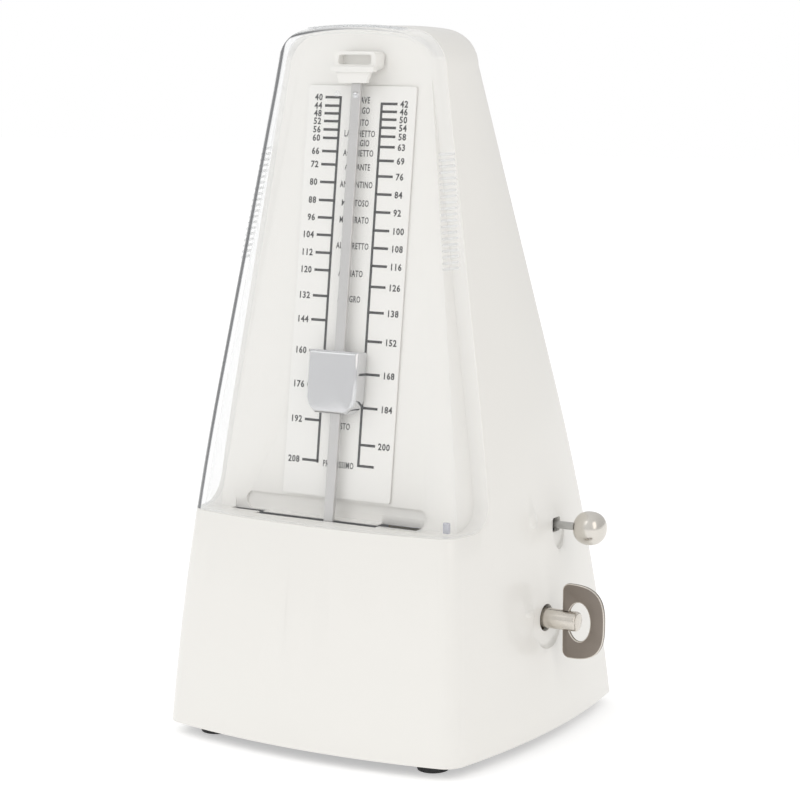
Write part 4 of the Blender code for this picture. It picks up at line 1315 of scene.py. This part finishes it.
@dataclass
class Knob:
    """The rounded knob on the end of the selector rod."""

    middle: tuple[float, float] = (14.0, 67.37)
    centre_x: float = 63.7
    radius: float = 5.4
    half_length: float = 5.2
    squareness: float = 2.35

    def build(self) -> None:
        """Makes the knob and hands it over."""
        profile = []
        for k in range(1, 40):
            a = math.pi * k / 40
            radius = self.radius * math.sin(a) ** (2 / self.squareness)
            along = math.copysign(abs(math.cos(a)) ** (2 / self.squareness), -math.cos(a))
            profile.append((radius, self.centre_x + self.half_length * along))
        knob = turned("knob_ball", "nickel_knob", (0, *self.middle), (1, 0, 0), profile, 96)
        socket = turned("socket", "nickel_knob", (0, *self.middle), (1, 0, 0),
                        [(1.55, self.centre_x - 8), (1.55, self.centre_x - 4.3)], 32)
        combine(knob, socket)
        pin = turned("pin", "nickel_knob", (self.centre_x + 0.6, *self.middle), (-0.2, -0.35, -1),
                     [(0.45, 3.4), (0.45, 8)], 20)
        combine(knob, pin)
        settle(shaded(cleaned(knob, 0.005, 0.0), 30), "selector", "nickel", "selector_knob")


@dataclass
class Base:
    """The black plate, its screws and the rubber feet."""

    feet: tuple[float, float] = (40.5, 44.5)
    screws: tuple[float, float] = (48.0, 24.0)

    @staticmethod
    def corners(spread: tuple[float, float], turn: float = 0.0) -> list[tuple[Point, Point]]:
        """The four spots round the base's middle."""
        return [((sx * spread[0], sy * spread[1], 0.0), (0.0, 0.0, turn * (1 + sx + 2 * sy)))
                for sx in (-1, 1) for sy in (-1, 1)]

    def foot(self) -> bpy.types.Object:
        """One foot with a ring of small grips round its rim, at the world's origin."""
        loops = []
        sides = 96
        rows = ((4.4, 0.0, 0.0), (4.75, 0.15, 0.0), (4.9, 0.5, 0.12), (5.0, 1.2, 0.14),
                (5.05, 4.2, 0.1), (4.9, 4.4, 0.0), (1.8, 4.4, 0.0), (1.8, 8.2, 0.0),
                (1.4, 9.0, 0.0))
        for radius, z, wave in rows:
            loop = []
            for k in range(sides):
                a, reach = 2 * math.pi * k / sides, radius - wave * (k % 4 == 0)
                loop.append((reach * math.cos(a) - FRAME_X, reach * math.sin(a), z))
            loops.append(loop)
        return shaded(solid("foot", *rings(loops), "foot_rubber"), 40)

    def screw(self) -> bpy.types.Object:
        """One pan-head screw with a cross recess, at the world's origin."""
        centre = (-FRAME_X, 0, 0)
        profile = [(1.6, 4.85), (2.5, 4.95), (3.0, 5.15), (3.2, 5.5), (3.2, 6.1), (1.5, 6.1),
                   (1.5, 15.5), (0.4, 16.8)]
        screw = turned("screw", "steel", centre, (0, 0, 1), profile, 32)
        for across, along in ((0.35, 1.6), (1.6, 0.35)):
            low = (-FRAME_X - across, -along, 4.0)
            combine(screw, block("cross", "steel", low, (-FRAME_X + across, along, 5.75)))
        return shaded(screw, 30)

    def build(self, copies: CopyTree) -> None:
        """Makes the plate, the feet and the screws and hands them over."""
        plate = cad_copy("bottom_plate", "base_plate", "black_base")
        settle(softened(plate, 0.25, 2), "root", "dark_plastic", "base_plate")
        names = [f"{end}_{side}" for end in ("front", "rear") for side in ("left", "right")]
        feet = copies.spread("rubber_feet", self.foot(), self.corners(self.feet), (1, 1, 1),
                             "foot_rubber")
        settle(shaded(feet), "root", "black_rubber", *(f"foot_{name}" for name in names))
        screws = copies.spread("bottom_screws", self.screw(), self.corners(self.screws, 0.3),
                               (1, 1, 1), "steel")
        settle(shaded(screws, 30), "root", "satin_steel", *(f"base_screw_{name}" for name in names))


@dataclass
class Movement:
    """The clockwork inside, whose CAD nodes keep their shape."""

    by_slot: dict[str, str] = field(default_factory=lambda: {
        "satin_steel": "steel", "brass": "brass", "blue_steel": "blue_steel", "lead": "lead",
        "nickel": "bell_nickel", "dark_plastic": "dark_cams", "chrome": "mirror_chrome",
        "ivory_plastic": "ivory_shell", "clear_plastic": "clear_outside",
        "black_rubber": "foot_rubber"})

    def build(self) -> None:
        """Dresses every CAD node by its slot."""
        for entry in frame["record"]["subparts"]:
            node = frame["nodes"][entry["node"]]
            node.data.materials.clear()
            node.data.materials.append(material(self.by_slot[entry["material_slot"]]))


# ---------------------------------------------------------------- studio

@dataclass
class Studio:
    """White floor, soft light and the camera."""

    eye: tuple[float, float, float] = (411.27, -677.30, 227.74)
    azimuth: float = 31.157
    aim_z: float = 105.3
    aim_right: float = 1.5
    lens: float = 111.6
    floor_size: float = 6.0
    bright_side: Point = (-0.62, -0.52, 0.59)
    dimmest_at: float = -0.9
    dim: float = 0.62
    bright: float = 0.89

    def camera(self) -> None:
        """Aims the camera."""
        data = bpy.data.cameras.new("camera")
        data.lens = self.lens
        data.sensor_width = 36.0
        data.clip_start = 0.02
        turn = math.radians(self.azimuth)
        aside = self.aim_right
        aim = to_frame((aside * math.cos(turn), aside * math.sin(turn), self.aim_z))
        camera = bpy.data.objects.new("camera", data)
        camera.location = to_frame(self.eye)
        camera.rotation_euler = (aim - camera.location).to_track_quat("-Z", "Y").to_euler()
        bpy.context.scene.collection.objects.link(camera)
        bpy.context.scene.camera = camera

    def light(self, name: str, place: Point, aim: Point, size: tuple[float, float],
              power: float, tint: Colour = (1, 1, 1)) -> None:
        """One soft box.

        Args:
            name: Its name.
            place: Where it stands, in metres.
            aim: What it shines at, in metres.
            size: Width and height in metres.
            power: Watts.
            tint: Colour.
        """
        data = bpy.data.lights.new(name, "AREA")
        data.shape = "RECTANGLE"
        data.size, data.size_y = size
        data.energy = power
        data.color = tint
        lamp = bpy.data.objects.new(name, data)
        lamp.location = place
        lamp.rotation_euler = (Vector(aim) - Vector(place)).to_track_quat("-Z", "Y").to_euler()
        bpy.context.scene.collection.objects.link(lamp)

    def sky(self) -> None:
        """White behind the object; the light it gives is brightest from the upper left."""
        world = bpy.data.worlds.new("studio")
        graph = Graph(world, "ShaderNodeOutputWorld")
        toward = graph.node("ShaderNodeTexCoord", output="Generated")
        dot = graph.node("ShaderNodeVectorMath", {"operation": "DOT_PRODUCT"},
                         {0: toward, 1: self.bright_side}, "Value")
        spread = graph.node("ShaderNodeMapRange", {}, {
            "Value": dot, "From Min": self.dimmest_at, "To Min": self.dim, "To Max": self.bright})
        seen = graph.node("ShaderNodeLightPath", output="Is Camera Ray")
        strength = graph.node("ShaderNodeMix", {}, {0: seen, 2: spread, 3: 1.0})
        graph.show(graph.node("ShaderNodeBackground", {}, {
            "Color": (1.0, 1.0, 1.0, 1.0), "Strength": strength}))
        bpy.context.scene.world = world

    def build(self) -> None:
        """Makes the studio."""
        self.camera()
        self.sky()
        half = self.floor_size / 2
        mesh = bpy.data.meshes.new("floor")
        corners = [(-half, -half, 0), (half, -half, 0), (half, half, 0), (-half, half, 0)]
        mesh.from_pydata(corners, [], [(0, 1, 2, 3)])
        mesh.materials.append(Backdrop("floor_white", (0.8, 0.8, 0.8)).make())
        floor = bpy.data.objects.new("floor", mesh)
        bpy.context.scene.collection.objects.link(floor)
        floor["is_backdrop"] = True
        self.light("key_light", (-0.9, -1.3, 1.5), (0, 0, 0.1), (1.2, 1.2), 3.6)
        self.light("fill_light", (1.4, -0.7, 0.9), (0, 0, 0.1), (0.9, 1.4), 3.3, (1.0, 0.93, 0.87))
        scene = bpy.context.scene
        scene.view_settings.view_transform = "Standard"


def main() -> None:
    """Builds the studio and every sub-assembly in order."""
    logging.basicConfig(level=logging.INFO, format="%(message)s")
    Studio().build()
    Movement().build()
    copies = CopyTree("copies_on_points")
    dial = Dial()
    Housing().build()
    Base().build(copies)
    dial.build()
    Catch().build()
    Pendulum().build(dial)
    Key().build()
    Knob().build()
    Cover().build(copies)
    boxes = {"cad": CAD_BOX, "looks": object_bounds()}
    {k: [list(corner) for corner in box] for k, box in boxes.items()}


if __name__ == "__main__":
    main()
